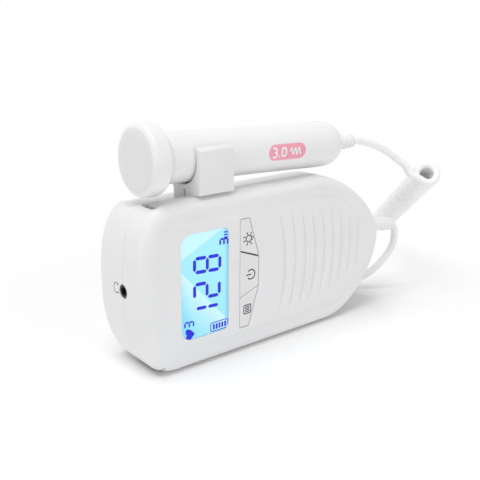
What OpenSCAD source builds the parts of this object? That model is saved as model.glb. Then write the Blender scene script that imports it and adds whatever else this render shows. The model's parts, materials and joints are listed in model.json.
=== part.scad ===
// Pocket fetal doppler: a hand unit that stands on its long side, with its round-headed probe
// clipped along the top and joined to the unit by a curly cord.
// X runs from the display end to the cord end, the front face looks along -Y, and Z is up.

/* [Hand unit] */
// Length of the hand unit from display end to cord end
body_length = 135; // [130:1:150]
// Height of the hand unit as it stands on its long side
body_height = 69.5; // [68:0.5:76]
// Thickness of the moulded walls
wall = 2; // [1.6:0.1:2.4]
// Distance from the front face back to the joint between the shells
parting_depth = 13.5; // [12.5:0.25:14.5]
// Height of the outermost point of the cord end
nose_height = 36; // [34:0.5:38]

/* [Outline corners] */
// Length over which the upper corner of the cord end curves down
crown_reach = 43.8; // [42:0.2:46]
// Length over which the lower corner of the cord end curves up
sole_reach = 34.2; // [32:0.2:37]
// Length over which both corners of the display end curve
display_reach = 17; // [14:0.5:20]
// Roundness of the upper corner at the cord end, 2 is an ellipse
crown_round_share = 1.62; // [1.6:0.02:1.8]
// Roundness of the lower corner at the cord end
sole_round_share = 1.75; // [1.7:0.05:2]
// Roundness of the corners at the display end
display_round_share = 2.75; // [2.3:0.05:3]

/* [Edges and front panel] */
// Width of the rounded edge round the front face, on the long sides
front_edge = 4; // [3:0.25:4.5]
// Width of the rounded edge round the front face, at the two ends
front_edge_end = 6.5; // [5:0.25:7]
// Depth of the rounded edge round the front face
front_edge_depth = 6; // [4.5:0.25:6.5]
// Width of the rounded edge round the back face, on the long sides
rear_edge = 6; // [5:0.25:7]
// Width of the rounded edge round the back face, at the two ends
rear_edge_end = 1; // [0.5:0.25:2]
// Depth of the rounded edge round the back face
rear_edge_depth = 9; // [7:0.25:9.5]
// Width of the border between the outline and the raised panel
panel_margin = 10; // [9:0.25:11.5]
// Depth of the shallow valley round the raised panel
panel_step = 0.7; // [0.4:0.1:1.2]
// Width of the slope from the valley up to the panel
panel_slope = 2.4; // [1.8:0.1:3]
// Distance from either end at which the valley starts to show
valley_start = 9.5; // [8:0.5:12]
// Length over which the valley fades in
valley_fade = 26; // [18:1:30]

/* [Step and channel] */
// Depth of the step behind the lip along the top, and of the channel along the bottom
channel_depth = 3.5; // [2.5:0.25:4]
// Thickness of the lip in front of the step and the channel
channel_lip = 5.5; // [5:0.25:6]
// Width of the channel between its lips
channel_width = 14.5; // [13:0.5:16]
// Distance from the display end to the mouth of the channel and to the notches
channel_start = 7; // [6:0.5:8.5]
// Length of the ramp at the display end of the channel
channel_ramp = 4.5; // [3:0.5:6]
// Length of the channel floor
channel_length = 96; // [90:1:98]
// Width of the small notch in the lip
notch_width = 4.6; // [3:0.2:6]
// Depth of the small notch in the lip, below the floor of the step
notch_depth = 0.4; // [0.2:0.1:1]

/* [Display] */
// Distance from the display end to the display window
lcd_from_end = 17.8; // [17:0.2:19]
// Width of the display window along the unit
lcd_width = 23.3; // [21:0.1:24]
// Height of the display window
lcd_height = 43.9; // [40:0.1:45]
// Corner radius on the outer side of the window
lcd_outer_radius = 5; // [3:0.5:6]
// Corner radius on the key side of the window
lcd_inner_radius = 3; // [2:0.5:4]
// How far the window sits below the front face
lcd_recess = 0.3; // [0.1:0.05:0.5]
// Width of the flange that holds the window behind the front wall
lcd_flange = 1.3; // [1:0.1:1.8]
// Thickness of the window flange
lcd_flange_depth = 0.8; // [0.6:0.1:1]
// Thickness of the display glass
lcd_glass = 2.4; // [1.8:0.1:2.8]
// Thickness of the backlight block
backlight_depth = 2.5; // [2:0.1:3]

/* [Keys] */
// Gap between the display window and the strip of keys
key_strip_gap = 5.8; // [5:0.1:6.5]
// Width of the key strip at its top and bottom ends
key_strip_end = 5.1; // [4:0.1:6]
// Width of the key strip at its bulging middle
key_strip_middle = 10.4; // [9:0.1:11]
// Height of the key strip
key_strip_height = 47.6; // [44:0.2:50]
// Height of the straight part of the bulging side
key_strip_flat = 13; // [10:0.5:16]
// Distance from mid height to each split line at the display side
key_split_wide = 10.4; // [9:0.1:11.5]
// Distance from mid height to each split line at the bulging side
key_split_narrow = 6.5; // [5.5:0.1:7.5]
// Gap round each key
key_gap = 0.25; // [0.2:0.05:0.35]
// Travel of a key
key_travel = 0.5; // [0.3:0.05:0.6]
// How far the keys sit below the front face
key_recess = 0.1; // [0:0.05:0.3]
// Width of the flange that keeps a key behind the wall
key_flange = 1; // [0.7:0.1:1.2]
// Thickness of a key's flange
key_flange_depth = 0.8; // [0.6:0.1:1]

/* [Grooved front] */
// Distance from the keys to the middle of the first groove
groove_first = 14.6; // [13:0.2:16]
// Distance between the first two grooves
groove_pitch = 6.25; // [5.8:0.05:6.6]
// How much each next groove closes up
groove_closing = 0.065; // [0:0.005:0.08]
// Width of a groove
groove_width = 1.2; // [0.8:0.1:1.6]
// Radius of the arc that each groove follows
groove_arc = 72.5; // [60:0.5:90]
// Distance from the ends of the grooves to the long sides
groove_margin = 13.4; // [12.5:0.1:15]
// Free length that the last groove keeps to the cord end
groove_end_margin = 15; // [13:0.5:17]

/* [Circuit board] */
// Thickness of the main circuit board
board_depth = 1.6; // [1.2:0.1:1.8]
// Length of the main circuit board
board_length = 68; // [64:1:72]
// Height of the main circuit board
board_height = 40.5; // [38:0.5:42]
// Gap between the display end and the board
board_from_end = 7.5; // [7:0.25:9]
// Free depth between the board and the battery bay behind it
board_room = 4.5; // [3.5:0.25:7]
// Side of a tact switch under a key
tact_side = 6; // [5:0.25:6.5]
// Height of a tact switch's case
tact_depth = 3.2; // [2.5:0.1:3.4]
// Diameter of a tact switch's stem
tact_stem = 3.2; // [2.5:0.1:3.5]

/* [Headphone jack] */
// Bore of the headphone socket
jack_bore = 3.6; // [3.5:0.05:3.7]
// Depth of the socket
jack_bore_depth = 12; // [10:0.5:12.5]
// Diameter of the socket's nose
jack_nose = 5.4; // [5:0.1:5.8]
// Diameter of the socket's collar behind the wall
jack_collar = 8; // [7.4:0.1:9]
// Width of the socket's case
jack_case = 6.4; // [6:0.1:7]

/* [Battery bay] */
// Diameter of a battery cell
cell_diameter = 14.5; // [14.2:0.1:14.5]
// Length of a battery cell without its nub
cell_length = 49.2; // [48:0.1:49.5]
// Length of the nub on a cell
cell_nub = 1.2; // [1:0.1:1.3]
// Diameter of the nub on a cell
cell_nub_diameter = 5.5; // [4.5:0.1:6]
// Distance from the display end to the inside of the battery bay
bay_from_end = 18; // [17:0.25:19]
// Length of a battery spring as it is squeezed in the bay
spring_length = 2.4; // [2:0.1:3]
// Gap between the two cells and beside them
cell_gap = 0.5; // [0.3:0.1:1]
// Thickness of the bay's walls
bay_wall = 1.2; // [1:0.1:1.5]
// Gap between a cell and the battery cover
cell_room = 1.3; // [0.8:0.1:1.6]
// Ledge that the battery cover sits on
cover_ledge = 1.6; // [1.2:0.1:2]
// Thickness of the battery cover
cover_depth = 1.2; // [1:0.1:1.4]

/* [Speaker] */
// Gap between the battery bay and the speaker
speaker_gap = 7; // [6:0.25:8]
// Diameter of the speaker
speaker_diameter = 29; // [26:0.5:30]
// Depth of the speaker with its magnet
speaker_depth = 9.5; // [8:0.25:11]
// Diameter of the speaker's magnet
magnet_diameter = 15; // [12:0.5:16]
// Diameter of a sound hole
sound_hole = 1.8; // [1.4:0.1:2.2]
// Distance between rings of sound holes
sound_ring = 4.2; // [3.8:0.1:4.6]

/* [Screws] */
// Diameter of a shell screw's shank
screw_shank = 2.4; // [2:0.1:2.6]
// Diameter of a shell screw's head
screw_head = 4.6; // [4:0.1:4.8]
// Height of a screw's head
screw_head_height = 1.9; // [1.5:0.1:2.2]
// Depth of the counterbore under the back face
screw_sink = 6; // [4:0.25:7]
// Distance from the display end to the screws beside the display
screw_from_display = 13.5; // [13:0.25:15]
// Distance from the cord end to the other screws
screw_from_cord = 23.5; // [22.5:0.25:25]
// Distance of the display end's screws from mid height
screw_spread = 24.6; // [23:0.1:25]
// Distance of the cord end's screws from mid height
screw_spread_cord = 19.5; // [18:0.25:20]

/* [Probe holder] */
// Distance from the display end to the middle of the probe holder
clip_from_end = 36.8; // [35:0.2:40]
// Width of the holder along the unit
clip_width = 17; // [14:0.5:19]
// Thickness of the holder's arms
clip_arm = 1.9; // [1.6:0.1:2.4]
// Gap between the holder's bore and the probe handle
clip_clearance = 0.3; // [0.25:0.05:0.4]
// Gap between the holder's front block and the lip below it
clip_gap = 0.8; // [0.5:0.1:1]
// How far the arms reach above the probe's axis
clip_reach = 5.4; // [4:0.2:7]
// Rise of the sloping top of each arm
clip_slope = 1.2; // [0.5:0.1:1.6]

/* [Probe] */
// Diameter of the probe's head
head_diameter = 28.4; // [27:0.1:28.6]
// Length of the head's straight part
head_length = 7; // [6:0.25:8]
// Length of the shoulder behind the head
shoulder_length = 4.5; // [4:0.25:6]
// Radius of the rim round the probe's face
head_rim = 2; // [1.6:0.1:2.6]
// Diameter of the probe's handle
handle_diameter = 20.4; // [20:0.1:20.6]
// How much slimmer the handle is at its waist
handle_waist = 0.5; // [0:0.05:0.8]
// Distance from the face to the end of the handle
handle_end = 105.4; // [103:0.2:108]
// Length of the handle's rounded tail
tail_length = 10; // [8:0.25:12]
// Diameter of the flat at the end of the tail
tail_flat = 8.8; // [8.6:0.1:9.4]
// Wall of the handle
handle_wall = 1.9; // [1.5:0.1:2.2]
// Distance from the display end back to the probe's face
probe_from_end = 7.4; // [6.5:0.1:9]
// Gap between the top of the unit and the probe's head at its face
probe_lift = 1.2; // [1:0.1:1.6]
// How far the probe's axis lies in front of the middle of the unit
probe_forward = 1.8; // [1.7:0.1:1.9]
// Droop of the probe from face to tail, in degrees
probe_droop = 2.4; // [2:0.1:2.6]
// Thickness of the acoustic face
face_depth = 1.2; // [0.8:0.1:1.4]
// Diameter of the crystal disc
crystal_diameter = 20; // [18:0.5:21]
// Thickness of a crystal
crystal_depth = 0.7; // [0.5:0.1:0.9]
// Gap between the two half crystals
crystal_gap = 0.8; // [0.5:0.1:1.2]
// Thickness of the backing behind the crystals
backing_depth = 5; // [4:0.25:5.5]
// Distance from the face to the middle of the coloured label
label_from_face = 68.5; // [66:0.5:72]
// Length of the coloured label
label_length = 20.5; // [18:0.5:22]
// Height of the coloured label
label_height = 6.7; // [6:0.1:7.5]
// Thickness of the label
label_depth = 0.2; // [0.1:0.05:0.25]

/* [Cord] */
// Diameter of the cord
cord_diameter = 3.6; // [3.4:0.05:3.7]
// Diameter of the curly part measured over its curls
coil_diameter = 13.6; // [12.8:0.1:13.8]
// Number of curls
coil_curls = 28; // [24:1:28]
// Length of the strain relief on the hand unit
body_relief_length = 22; // [20:0.25:22.5]
// Height of its root above the middle of the unit
body_relief_lift = 2.2; // [1:0.1:3]
// Distance by which its tip hangs below its root
body_relief_droop = 3; // [2:0.25:4]
// Diameter of that strain relief at the wall
body_relief_root = 7.6; // [7:0.1:8.2]
// Diameter of that strain relief at its tip
body_relief_tip = 6.2; // [5.6:0.1:6.6]
// Length of the strain relief on the probe
probe_relief_length = 12.8; // [11.5:0.1:14]
// Diameter of the probe's strain relief at the handle
probe_relief_root = 8; // [7.4:0.1:8.4]
// Diameter of the probe's strain relief at its tip
probe_relief_tip = 5.8; // [5:0.1:6.2]

/* [Hidden] */

$fn = 64;
// Points on each corner of the outline, and rings on each rounded edge
corner_steps = 17;
edge_steps = 5;
// Overrun of every cut past the face that it opens
over = 0.5;
// Clearance of fixed pieces in their holes
fit = 0.15;
// Chamfer inside the front edge
inner_chamfer = 2.5;

// Depth of the unit: the layers behind the front wall, the board's free room, and the battery bay
bay_depth = cell_diameter + cell_room + cover_depth;
body_depth = wall + lcd_flange_depth + lcd_glass + backlight_depth + board_depth + board_room
    + bay_wall + bay_depth;
front_y = -body_depth / 2;
back_y = body_depth / 2;
parting_y = front_y + parting_depth;
inner_front_y = front_y + wall;
inner_back_y = back_y - wall;
display_x = -body_length / 2;
cord_x = body_length / 2;
mid_z = body_height / 2;
side_wall = channel_depth + wall;

// Superellipse power that keeps the sign
function signed_power(v, e) = sign(v) * pow(abs(v), e);

// One corner of the outline as points (x, z), from the given angle through a quarter turn
function corner(cx, cz, rx, rz, round_share, start, last) =
    [for (k = [0 : last]) let (t = start + 90 * k / corner_steps)
        [cx + rx * signed_power(cos(t), 2 / round_share), cz + rz * signed_power(sin(t), 2 / round_share)]];

// Outline drawn in by ei at the ends and si on the long sides, counterclockwise seen from the front
function outline(ei, si) = concat(
    corner(cord_x - sole_reach, nose_height, sole_reach - ei, nose_height - si,
        sole_round_share, -90, corner_steps - 1),
    corner(cord_x - crown_reach, nose_height, crown_reach - ei, body_height - nose_height - si,
        crown_round_share, 0, corner_steps),
    corner(display_x + display_reach, mid_z, display_reach - ei, mid_z - si,
        display_round_share, 90, corner_steps - 1),
    corner(display_x + display_reach, mid_z, display_reach - ei, mid_z - si,
        display_round_share, 180, corner_steps));

// A ring of the outline at depth y, sunk by the valley depth that fades in along the unit
function valley_share(x) = max(0, min(1, (x - display_x - valley_start) / valley_fade,
    (cord_x - x - valley_start) / valley_fade));
function ring(ei, si, y, sink = 0) =
    [for (p = outline(ei, si)) [p[0], y + sink * valley_share(p[0]), p[1]]];

// Height of the top edge of the outline at a given x
function crown_z(x) = let (t = max(0, min(1, (x - cord_x + crown_reach) / crown_reach)))
    nose_height + (body_height - nose_height) * pow(1 - pow(t, crown_round_share), 1 / crown_round_share);

// Closed solid through a list of rings with the same number of points
module loft(rings) {
    n = len(rings[0]);
    last = len(rings) - 1;
    points = [for (r = rings) each r];
    sides = [for (k = [0 : last - 1]) for (i = [0 : n - 1]) let (j = (i + 1) % n)
        each [[k * n + i, k * n + j, (k + 1) * n + j], [k * n + i, (k + 1) * n + j, (k + 1) * n + i]]];
    caps = [[for (i = [n - 1 : -1 : 0]) i], [for (i = [0 : n - 1]) last * n + i]];
    polyhedron(points, concat(sides, caps));
}

// Turns a drawing in x and z into a plate between two depths
module plate(y0, y1) {
    translate([0, y1, 0])
        rotate([90, 0, 0])
            linear_extrude(y1 - y0)
                children();
}

// A round bar along Y between two depths
module bar_y(x, z, d, y0, y1) {
    translate([x, y1, z])
        rotate([90, 0, 0])
            cylinder(d = d, h = y1 - y0);
}

// A round bar along X between two places
module bar_x(y, z, d, x0, x1) {
    translate([x0, y, z])
        rotate([0, 90, 0])
            cylinder(d = d, h = x1 - x0);
}

// Outline of the display window, grown by g on every side
lcd_x = display_x + lcd_from_end;
module lcd_outline(g) {
    w = lcd_width + 2 * g;
    h = lcd_height + 2 * g;
    ro = lcd_outer_radius + g;
    ri = lcd_inner_radius + g;
    translate([lcd_x - g, mid_z - h / 2]) {
        translate([ro, 0])
            square([w - ro - ri, h]);
        translate([0, ro])
            square([ro, h - 2 * ro]);
        translate([w - ri, ri])
            square([ri, h - 2 * ri]);
        for (z = [ro, h - ro])
            translate([ro, z])
                circle(ro);
        for (z = [ri, h - ri])
            translate([w - ri, z])
                circle(ri);
    }
}

// Outline of the key strip, and the band that one key takes of it
strip_x = lcd_x + lcd_width + key_strip_gap;
module strip_outline() {
    half = key_strip_height / 2;
    flat = key_strip_flat / 2;
    translate([strip_x, mid_z])
        polygon([[0, -half], [key_strip_end, -half], [key_strip_middle, -flat],
            [key_strip_middle, flat], [key_strip_end, half], [0, half]]);
}
// The split lines run from the display side to the bulging side and on past both
split_slope_share = (key_split_narrow - key_split_wide) / key_strip_middle;
module key_band(index) {
    reach = key_strip_middle;
    wide = key_split_wide - split_slope_share * reach;
    narrow = key_split_narrow + split_slope_share * reach;
    far = key_strip_height;
    x0 = strip_x - reach;
    x1 = strip_x + 2 * reach;
    translate([0, mid_z])
        if (index == 0)
            polygon([[x0, wide], [x1, narrow], [x1, far], [x0, far]]);
        else if (index == 1)
            polygon([[x0, -wide], [x1, -narrow], [x1, narrow], [x0, wide]]);
        else
            polygon([[x0, -far], [x1, -far], [x1, -narrow], [x0, -wide]]);
}
key_flange_y = inner_front_y + key_flange_depth;
module key(index) {
    plate(front_y + key_recess, inner_front_y)
        intersection() {
            offset(delta = -key_gap) strip_outline();
            offset(delta = -key_gap / 2) key_band(index);
        }
    plate(inner_front_y, key_flange_y)
        intersection() {
            offset(delta = key_flange) strip_outline();
            offset(delta = -key_gap / 2) key_band(index);
        }
}

// Channel of the bottom, drawn at the top and mirrored
channel_x = display_x + channel_start;
channel_y0 = front_y + channel_lip;
channel_y1 = channel_y0 + channel_width;
channel_floor = body_height - channel_depth;
module channel() {
    end_x = channel_x + channel_ramp + channel_length;
    plate(channel_y0, channel_y1)
        polygon([[channel_x, body_height + over], [channel_x + channel_ramp, channel_floor],
            [end_x, channel_floor], [end_x, body_height + over]]);
}
// Small notch where the lip begins
module notch() {
    plate(front_y - over, channel_y0 + over)
        polygon([[channel_x - over, body_height + over],
            [channel_x + notch_width / 2, channel_floor - notch_depth],
            [channel_x + notch_width + over, body_height + over]]);
}
// Step along the top that is open to the back, channel along the bottom, and both notches
module channels() {
    plate(channel_y0, back_y + over)
        translate([display_x - over, channel_floor])
            square([body_length + 2 * over, channel_depth + over]);
    notch();
    translate([0, 0, body_height])
        mirror([0, 0, 1]) {
            channel();
            notch();
        }
}

// Screw places as (x, z)
screw_places = [
    [display_x + screw_from_display, mid_z - screw_spread],
    [display_x + screw_from_display, mid_z + screw_spread],
    [cord_x - screw_from_cord, mid_z - screw_spread_cord],
    [cord_x - screw_from_cord, mid_z + screw_spread_cord]];
boss_wall = 1.2;
screw_head_y = back_y - screw_sink;
screw_tip_y = inner_front_y + wall;

// Holes through the wall at both ends, half in each shell
jack_collar_x = display_x + wall;
relief_neck = body_relief_root - boss_wall;
relief_z = mid_z + body_relief_lift;
module end_holes() {
    bar_x(parting_y, mid_z, jack_nose + 2 * fit, display_x - over, jack_collar_x + over);
    bar_x(parting_y, relief_z, relief_neck + 2 * fit, cord_x - wall - front_edge_end, cord_x + over);
}

// Grooves: arcs that bulge towards the cord end and end on the panel
groove_last_x = cord_x - groove_end_margin;
groove_count = 9;
function groove_x(k) = strip_x + key_strip_middle + groove_first + groove_pitch * k - groove_closing * k * k;
function groove_half(x) = crown_z(x) - groove_margin - mid_z;
module grooves() {
    for (k = [0 : groove_count - 1])
        if (groove_x(k) < groove_last_x) {
            a = asin(groove_half(groove_x(k)) / groove_arc);
            translate([groove_x(k) - groove_arc, front_y, mid_z])
                rotate([90, 0, 0])
                    rotate([0, 0, -a])
                        rotate_extrude(angle = 2 * a, $fn = 180)
                            translate([groove_arc, 0])
                                circle(d = groove_width, $fn = 16);
        }
}

// Front shell: a lofted cup with its screw bosses, opened for display, keys, grooves and channels
module front_shell() {
    rim = [for (k = [edge_steps : -1 : 0]) let (a = 90 * k / edge_steps)
        ring(front_edge_end * (1 - cos(a)), front_edge * (1 - cos(a)), front_y + front_edge_depth * (1 - sin(a)))];
    foot = panel_margin - panel_slope;
    color("whitesmoke")
        difference() {
            union() {
                loft(concat([
                    ring(panel_margin, panel_margin, front_y),
                    ring(foot, foot, front_y, panel_step)], rim, [
                    ring(0, 0, parting_y),
                    ring(wall, side_wall, parting_y),
                    ring(wall, side_wall, inner_front_y + inner_chamfer),
                    ring(wall + inner_chamfer, side_wall + inner_chamfer, inner_front_y)]));
                for (p = screw_places)
                    bar_y(p[0], p[1], screw_shank + 2 * boss_wall, front_y + wall / 2, parting_y);
            }
            plate(front_y - over, inner_front_y + over)
                lcd_outline(0);
            plate(front_y - over, inner_front_y + over)
                strip_outline();
            grooves();
            channels();
            end_holes();
            for (p = screw_places)
                bar_y(p[0], p[1], screw_shank + fit, screw_tip_y, parting_y + over);
        }
}

// Battery bay, as long as a cell with its spring and contacts, and the opening that its cover closes
plate_depth = 0.5;
plate_side = 9;
cell_seat = 0.1;
bay_length = cell_length + cell_nub + spring_length + 2 * (plate_depth + cell_seat);
bay_height = 2 * (cell_diameter + cell_gap);
bay_x0 = display_x + bay_from_end;
bay_x1 = bay_x0 + bay_length;
bay_z0 = mid_z - bay_height / 2;
bay_floor_y = back_y - bay_depth;
cover_y = back_y - cover_depth;
module bay_plan(g) {
    translate([bay_x0 - g, bay_z0 - g])
        square([bay_length + 2 * g, bay_height + 2 * g]);
}

// Rear shell: a deeper lofted cup with the battery bay, speaker seat, bosses and sound holes
speaker_x = bay_x1 + speaker_gap + speaker_diameter / 2;
speaker_seat_depth = 2;
module rear_shell() {
    turn = [for (k = [0 : edge_steps]) 90 * k / edge_steps];
    edge_y = back_y - rear_edge_depth;
    outside = [for (a = turn)
        ring(rear_edge_end * (1 - cos(a)), rear_edge * (1 - cos(a)), edge_y + rear_edge_depth * sin(a))];
    inside = [for (a = turn)
        ring(wall + rear_edge_end * (1 - cos(a)), max(wall + rear_edge * (1 - cos(a)), side_wall),
            edge_y + (rear_edge_depth - wall) * sin(a))];
    color("whitesmoke")
        difference() {
            union() {
                loft(concat([for (k = [edge_steps : -1 : 0]) inside[k]], [
                    ring(wall, side_wall, parting_y),
                    ring(0, 0, parting_y)], outside));
                plate(bay_floor_y - bay_wall, inner_back_y + wall / 2)
                    bay_plan(bay_wall);
                for (p = screw_places)
                    bar_y(p[0], p[1], screw_head + 2 * fit + 2 * boss_wall, parting_y, inner_back_y + wall / 2);
                bar_y(speaker_x, mid_z, speaker_diameter + 2 * fit + 2 * boss_wall,
                    inner_back_y - speaker_seat_depth, inner_back_y + wall / 2);
            }
            plate(bay_floor_y, back_y + over)
                bay_plan(0);
            plate(cover_y, back_y + over)
                bay_plan(cover_ledge);
            bar_y(speaker_x, mid_z, speaker_diameter + 2 * fit,
                inner_back_y - speaker_seat_depth - over, inner_back_y);
            bar_y(speaker_x, mid_z, sound_hole, inner_back_y - over, back_y + over);
            for (r = [1 : 2])
                for (k = [0 : 6 * r - 1])
                    bar_y(speaker_x + r * sound_ring * cos(60 * k / r), mid_z + r * sound_ring * sin(60 * k / r),
                        sound_hole, inner_back_y - over, back_y + over);
            channels();
            end_holes();
            for (p = screw_places) {
                bar_y(p[0], p[1], screw_shank + 2 * fit, parting_y - over, screw_head_y + over);
                bar_y(p[0], p[1], screw_head + 2 * fit, screw_head_y, back_y + over);
            }
            for (s = [-1, 1])
                translate([clip_x + s * clip_screw_spread, clip_screw_y, channel_floor - 2 * wall])
                    cylinder(d = clip_screw_shank + 2 * fit, h = 4 * wall);
        }
}

// Battery cover: flush plate on its ledge, with finger ridges and a latch tab
cover_ridge = 1.2;
cover_ridge_step = 2.6;
latch_height = 8;
module battery_cover() {
    g = cover_ledge - fit;
    ridge_x = bay_x1 - 2 * cover_ridge_step;
    color("whitesmoke")
        difference() {
            union() {
                plate(cover_y, back_y)
                    bay_plan(g);
                translate([bay_x1 - 2 * bay_wall, inner_back_y - wall / 2, mid_z - latch_height / 2])
                    cube([bay_wall, cover_y - inner_back_y + wall / 2, latch_height]);
            }
            for (k = [0 : 4])
                translate([ridge_x - k * cover_ridge_step, back_y, mid_z - bay_height / 4])
                    cylinder(d = cover_ridge, h = bay_height / 2);
        }
}

// Display window with the flange that holds it behind the wall
lcd_back_y = inner_front_y + lcd_flange_depth;
module lcd_window() {
    color("deepskyblue") {
        plate(front_y + lcd_recess, inner_front_y)
            lcd_outline(-fit);
        plate(inner_front_y, lcd_back_y)
            lcd_outline(lcd_flange);
    }
}

// Display glass and its backlight, stacked between window and board
module lcd_block(y0, y1, g) {
    translate([lcd_x - g, y0, mid_z - lcd_height / 2 - g])
        cube([lcd_width + 2 * g, y1 - y0, lcd_height + 2 * g]);
}
glass_y = lcd_back_y + lcd_glass;
board_y0 = glass_y + backlight_depth;
board_y1 = board_y0 + board_depth;
module lcd_panel() {
    color("cyan")
        lcd_block(lcd_back_y, glass_y, lcd_flange / 2);
}
module backlight() {
    color("white")
        lcd_block(glass_y, board_y0, 0);
}

// Main board between the screw bosses
board_x0 = display_x + board_from_end;
board_x1 = board_x0 + board_length;
module main_board() {
    color("seagreen")
        translate([board_x0, board_y0, mid_z - board_height / 2])
            cube([board_length, board_depth, board_height]);
}

// Packages on the back of the board: processor, amplifier, and a can for the oscillator
chip_depth = 1.6;
chip_side = 9;
amp_side = 6;
module chip(x, z, w, h) {
    translate([x - w / 2, board_y1, z - h / 2])
        cube([w, chip_depth, h]);
}
module board_chips() {
    color("dimgray") {
        chip(lcd_x + lcd_width / 2, mid_z, chip_side, chip_side);
        chip(strip_x, mid_z - chip_side, amp_side, amp_side);
        chip(strip_x, mid_z + chip_side, amp_side, chip_side);
    }
}

// Middle of each key's band
function key_place(index) = [strip_x + key_strip_end, mid_z + (1 - index) * (key_split_wide + key_strip_height / 2) / 2];
module tact_switches() {
    stem_y = key_flange_y + key_travel + key_gap / 2;
    case_y = board_y0 - tact_depth;
    color("black")
        for (index = [0 : 2]) {
            p = key_place(index);
            translate([p[0] - tact_side / 2, case_y, p[1] - tact_side / 2])
                cube([tact_side, tact_depth, tact_side]);
            bar_y(p[0], p[1], tact_stem, stem_y, case_y);
        }
}

module key_light() {
    color("whitesmoke")
        key(0);
}
module key_power() {
    color("whitesmoke")
        key(1);
}
module key_mode() {
    color("whitesmoke")
        key(2);
}

// Headphone socket: nose in the wall, collar behind it, case on the back of the board
jack_case_length = 8;
jack_collar_depth = 1.4;
jack_face = 0.2;
module headphone_jack() {
    x0 = display_x + jack_face;
    x1 = jack_collar_x + fit;
    x2 = x1 + jack_collar_depth;
    color("dimgray")
        difference() {
            union() {
                bar_x(parting_y, mid_z, jack_nose, x0, x2);
                bar_x(parting_y, mid_z, jack_collar, x1, x2);
                translate([x2, board_y1, mid_z - jack_case / 2])
                    cube([jack_case_length, 2 * (parting_y - board_y1), jack_case]);
            }
            bar_x(parting_y, mid_z, jack_bore, x0 - over, x0 + jack_bore_depth);
        }
}

// Two cells that lie side by side with their nubs at opposite ends
cell_y = bay_floor_y + cell_diameter / 2;
function cell_z(s) = mid_z + s * bay_height / 4;
nub_x = bay_x0 + plate_depth + cell_seat;
module cell() {
    bar_x(0, 0, cell_nub_diameter, 0, cell_nub + over);
    bar_x(0, 0, cell_diameter, cell_nub, cell_nub + cell_length);
}
module cell_at(s) {
    middle = bay_x0 + bay_length / 2;
    translate([middle, cell_y, cell_z(s)])
        rotate([0, s > 0 ? 0 : 180, 0])
            translate([nub_x - middle, 0, 0])
                children();
}
module battery_cells() {
    color("goldenrod")
        for (s = [-1, 1])
            cell_at(s)
                cell();
}

// Sheet contacts at both ends of the bay, and the springs on the flat ends of the cells
module battery_contacts() {
    color("silver")
        for (s = [-1, 1])
            for (x = [bay_x0, bay_x1 - plate_depth])
                translate([x, cell_y - plate_side / 2, cell_z(s) - plate_side / 2])
                    cube([plate_depth, plate_side, plate_side]);
}
module battery_springs() {
    spring_x = cell_nub + cell_length + cell_seat;
    spring_end = spring_x + spring_length;
    color("silver")
        for (s = [-1, 1])
            cell_at(s)
                translate([spring_x, 0, 0])
                    rotate([0, 90, 0])
                        cylinder(d1 = cell_nub_diameter, d2 = plate_side - over, h = spring_end - spring_x);
}

// Speaker: frame with its flange on the rear wall, magnet pot behind, paper cone inside
speaker_flange = 1.2;
frame_wall = 0.8;
cone_rise = 3;
magnet_height = 3.5;
module revolve_y(x, z, y) {
    translate([x, y, z])
        rotate([90, 0, 0])
            rotate_extrude()
                children();
}
basket_depth = speaker_depth - magnet_height;
module speaker_frame() {
    r = speaker_diameter / 2;
    m = magnet_diameter / 2;
    color("gray")
        revolve_y(speaker_x, mid_z, inner_back_y)
            polygon([[r - 2 * frame_wall, 0], [r, 0], [r, speaker_flange], [r - frame_wall, speaker_flange],
                [m + frame_wall, basket_depth], [0, basket_depth], [0, basket_depth - frame_wall],
                [m, basket_depth - frame_wall], [r - 2 * frame_wall, speaker_flange]]);
}
module speaker_magnet() {
    color("dimgray")
        revolve_y(speaker_x, mid_z, inner_back_y - basket_depth)
            square([magnet_diameter / 2, magnet_height]);
}
module speaker_cone() {
    r = speaker_diameter / 2 - 2 * frame_wall;
    cap = magnet_diameter / 4;
    color("black")
        revolve_y(speaker_x, mid_z, inner_back_y - frame_wall / 2)
            polygon([[0, cone_rise / 2], [cap, cone_rise], [r - frame_wall, 0], [r, 0], [r, frame_wall / 2],
                [cap, cone_rise + frame_wall], [0, cone_rise / 2 + frame_wall]]);
}

// Four screws that hold the shells together, driven from the back
module shell_screws() {
    slot = screw_head / 4;
    color("silver")
        for (p = screw_places)
            difference() {
                union() {
                    bar_y(p[0], p[1], screw_head, screw_head_y, screw_head_y + screw_head_height);
                    bar_y(p[0], p[1], screw_shank, screw_tip_y, screw_head_y + screw_head_height / 2);
                }
                for (a = [0, 90])
                    translate([p[0], screw_head_y + screw_head_height, p[1]])
                        rotate([0, a, 0])
                            cube([screw_head / 2, screw_head_height, slot / 2], center = true);
            }
}

// Probe axis: the face's centre, then down by the droop towards the tail
probe_x = display_x + probe_from_end;
probe_y = -probe_forward;
probe_z = body_height + probe_lift + head_diameter / 2;
module on_probe() {
    translate([probe_x, probe_y, probe_z])
        rotate([0, probe_droop, 0])
            children();
}
function probe_point(s) = [probe_x + s * cos(probe_droop), probe_y, probe_z - s * sin(probe_droop)];

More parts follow.
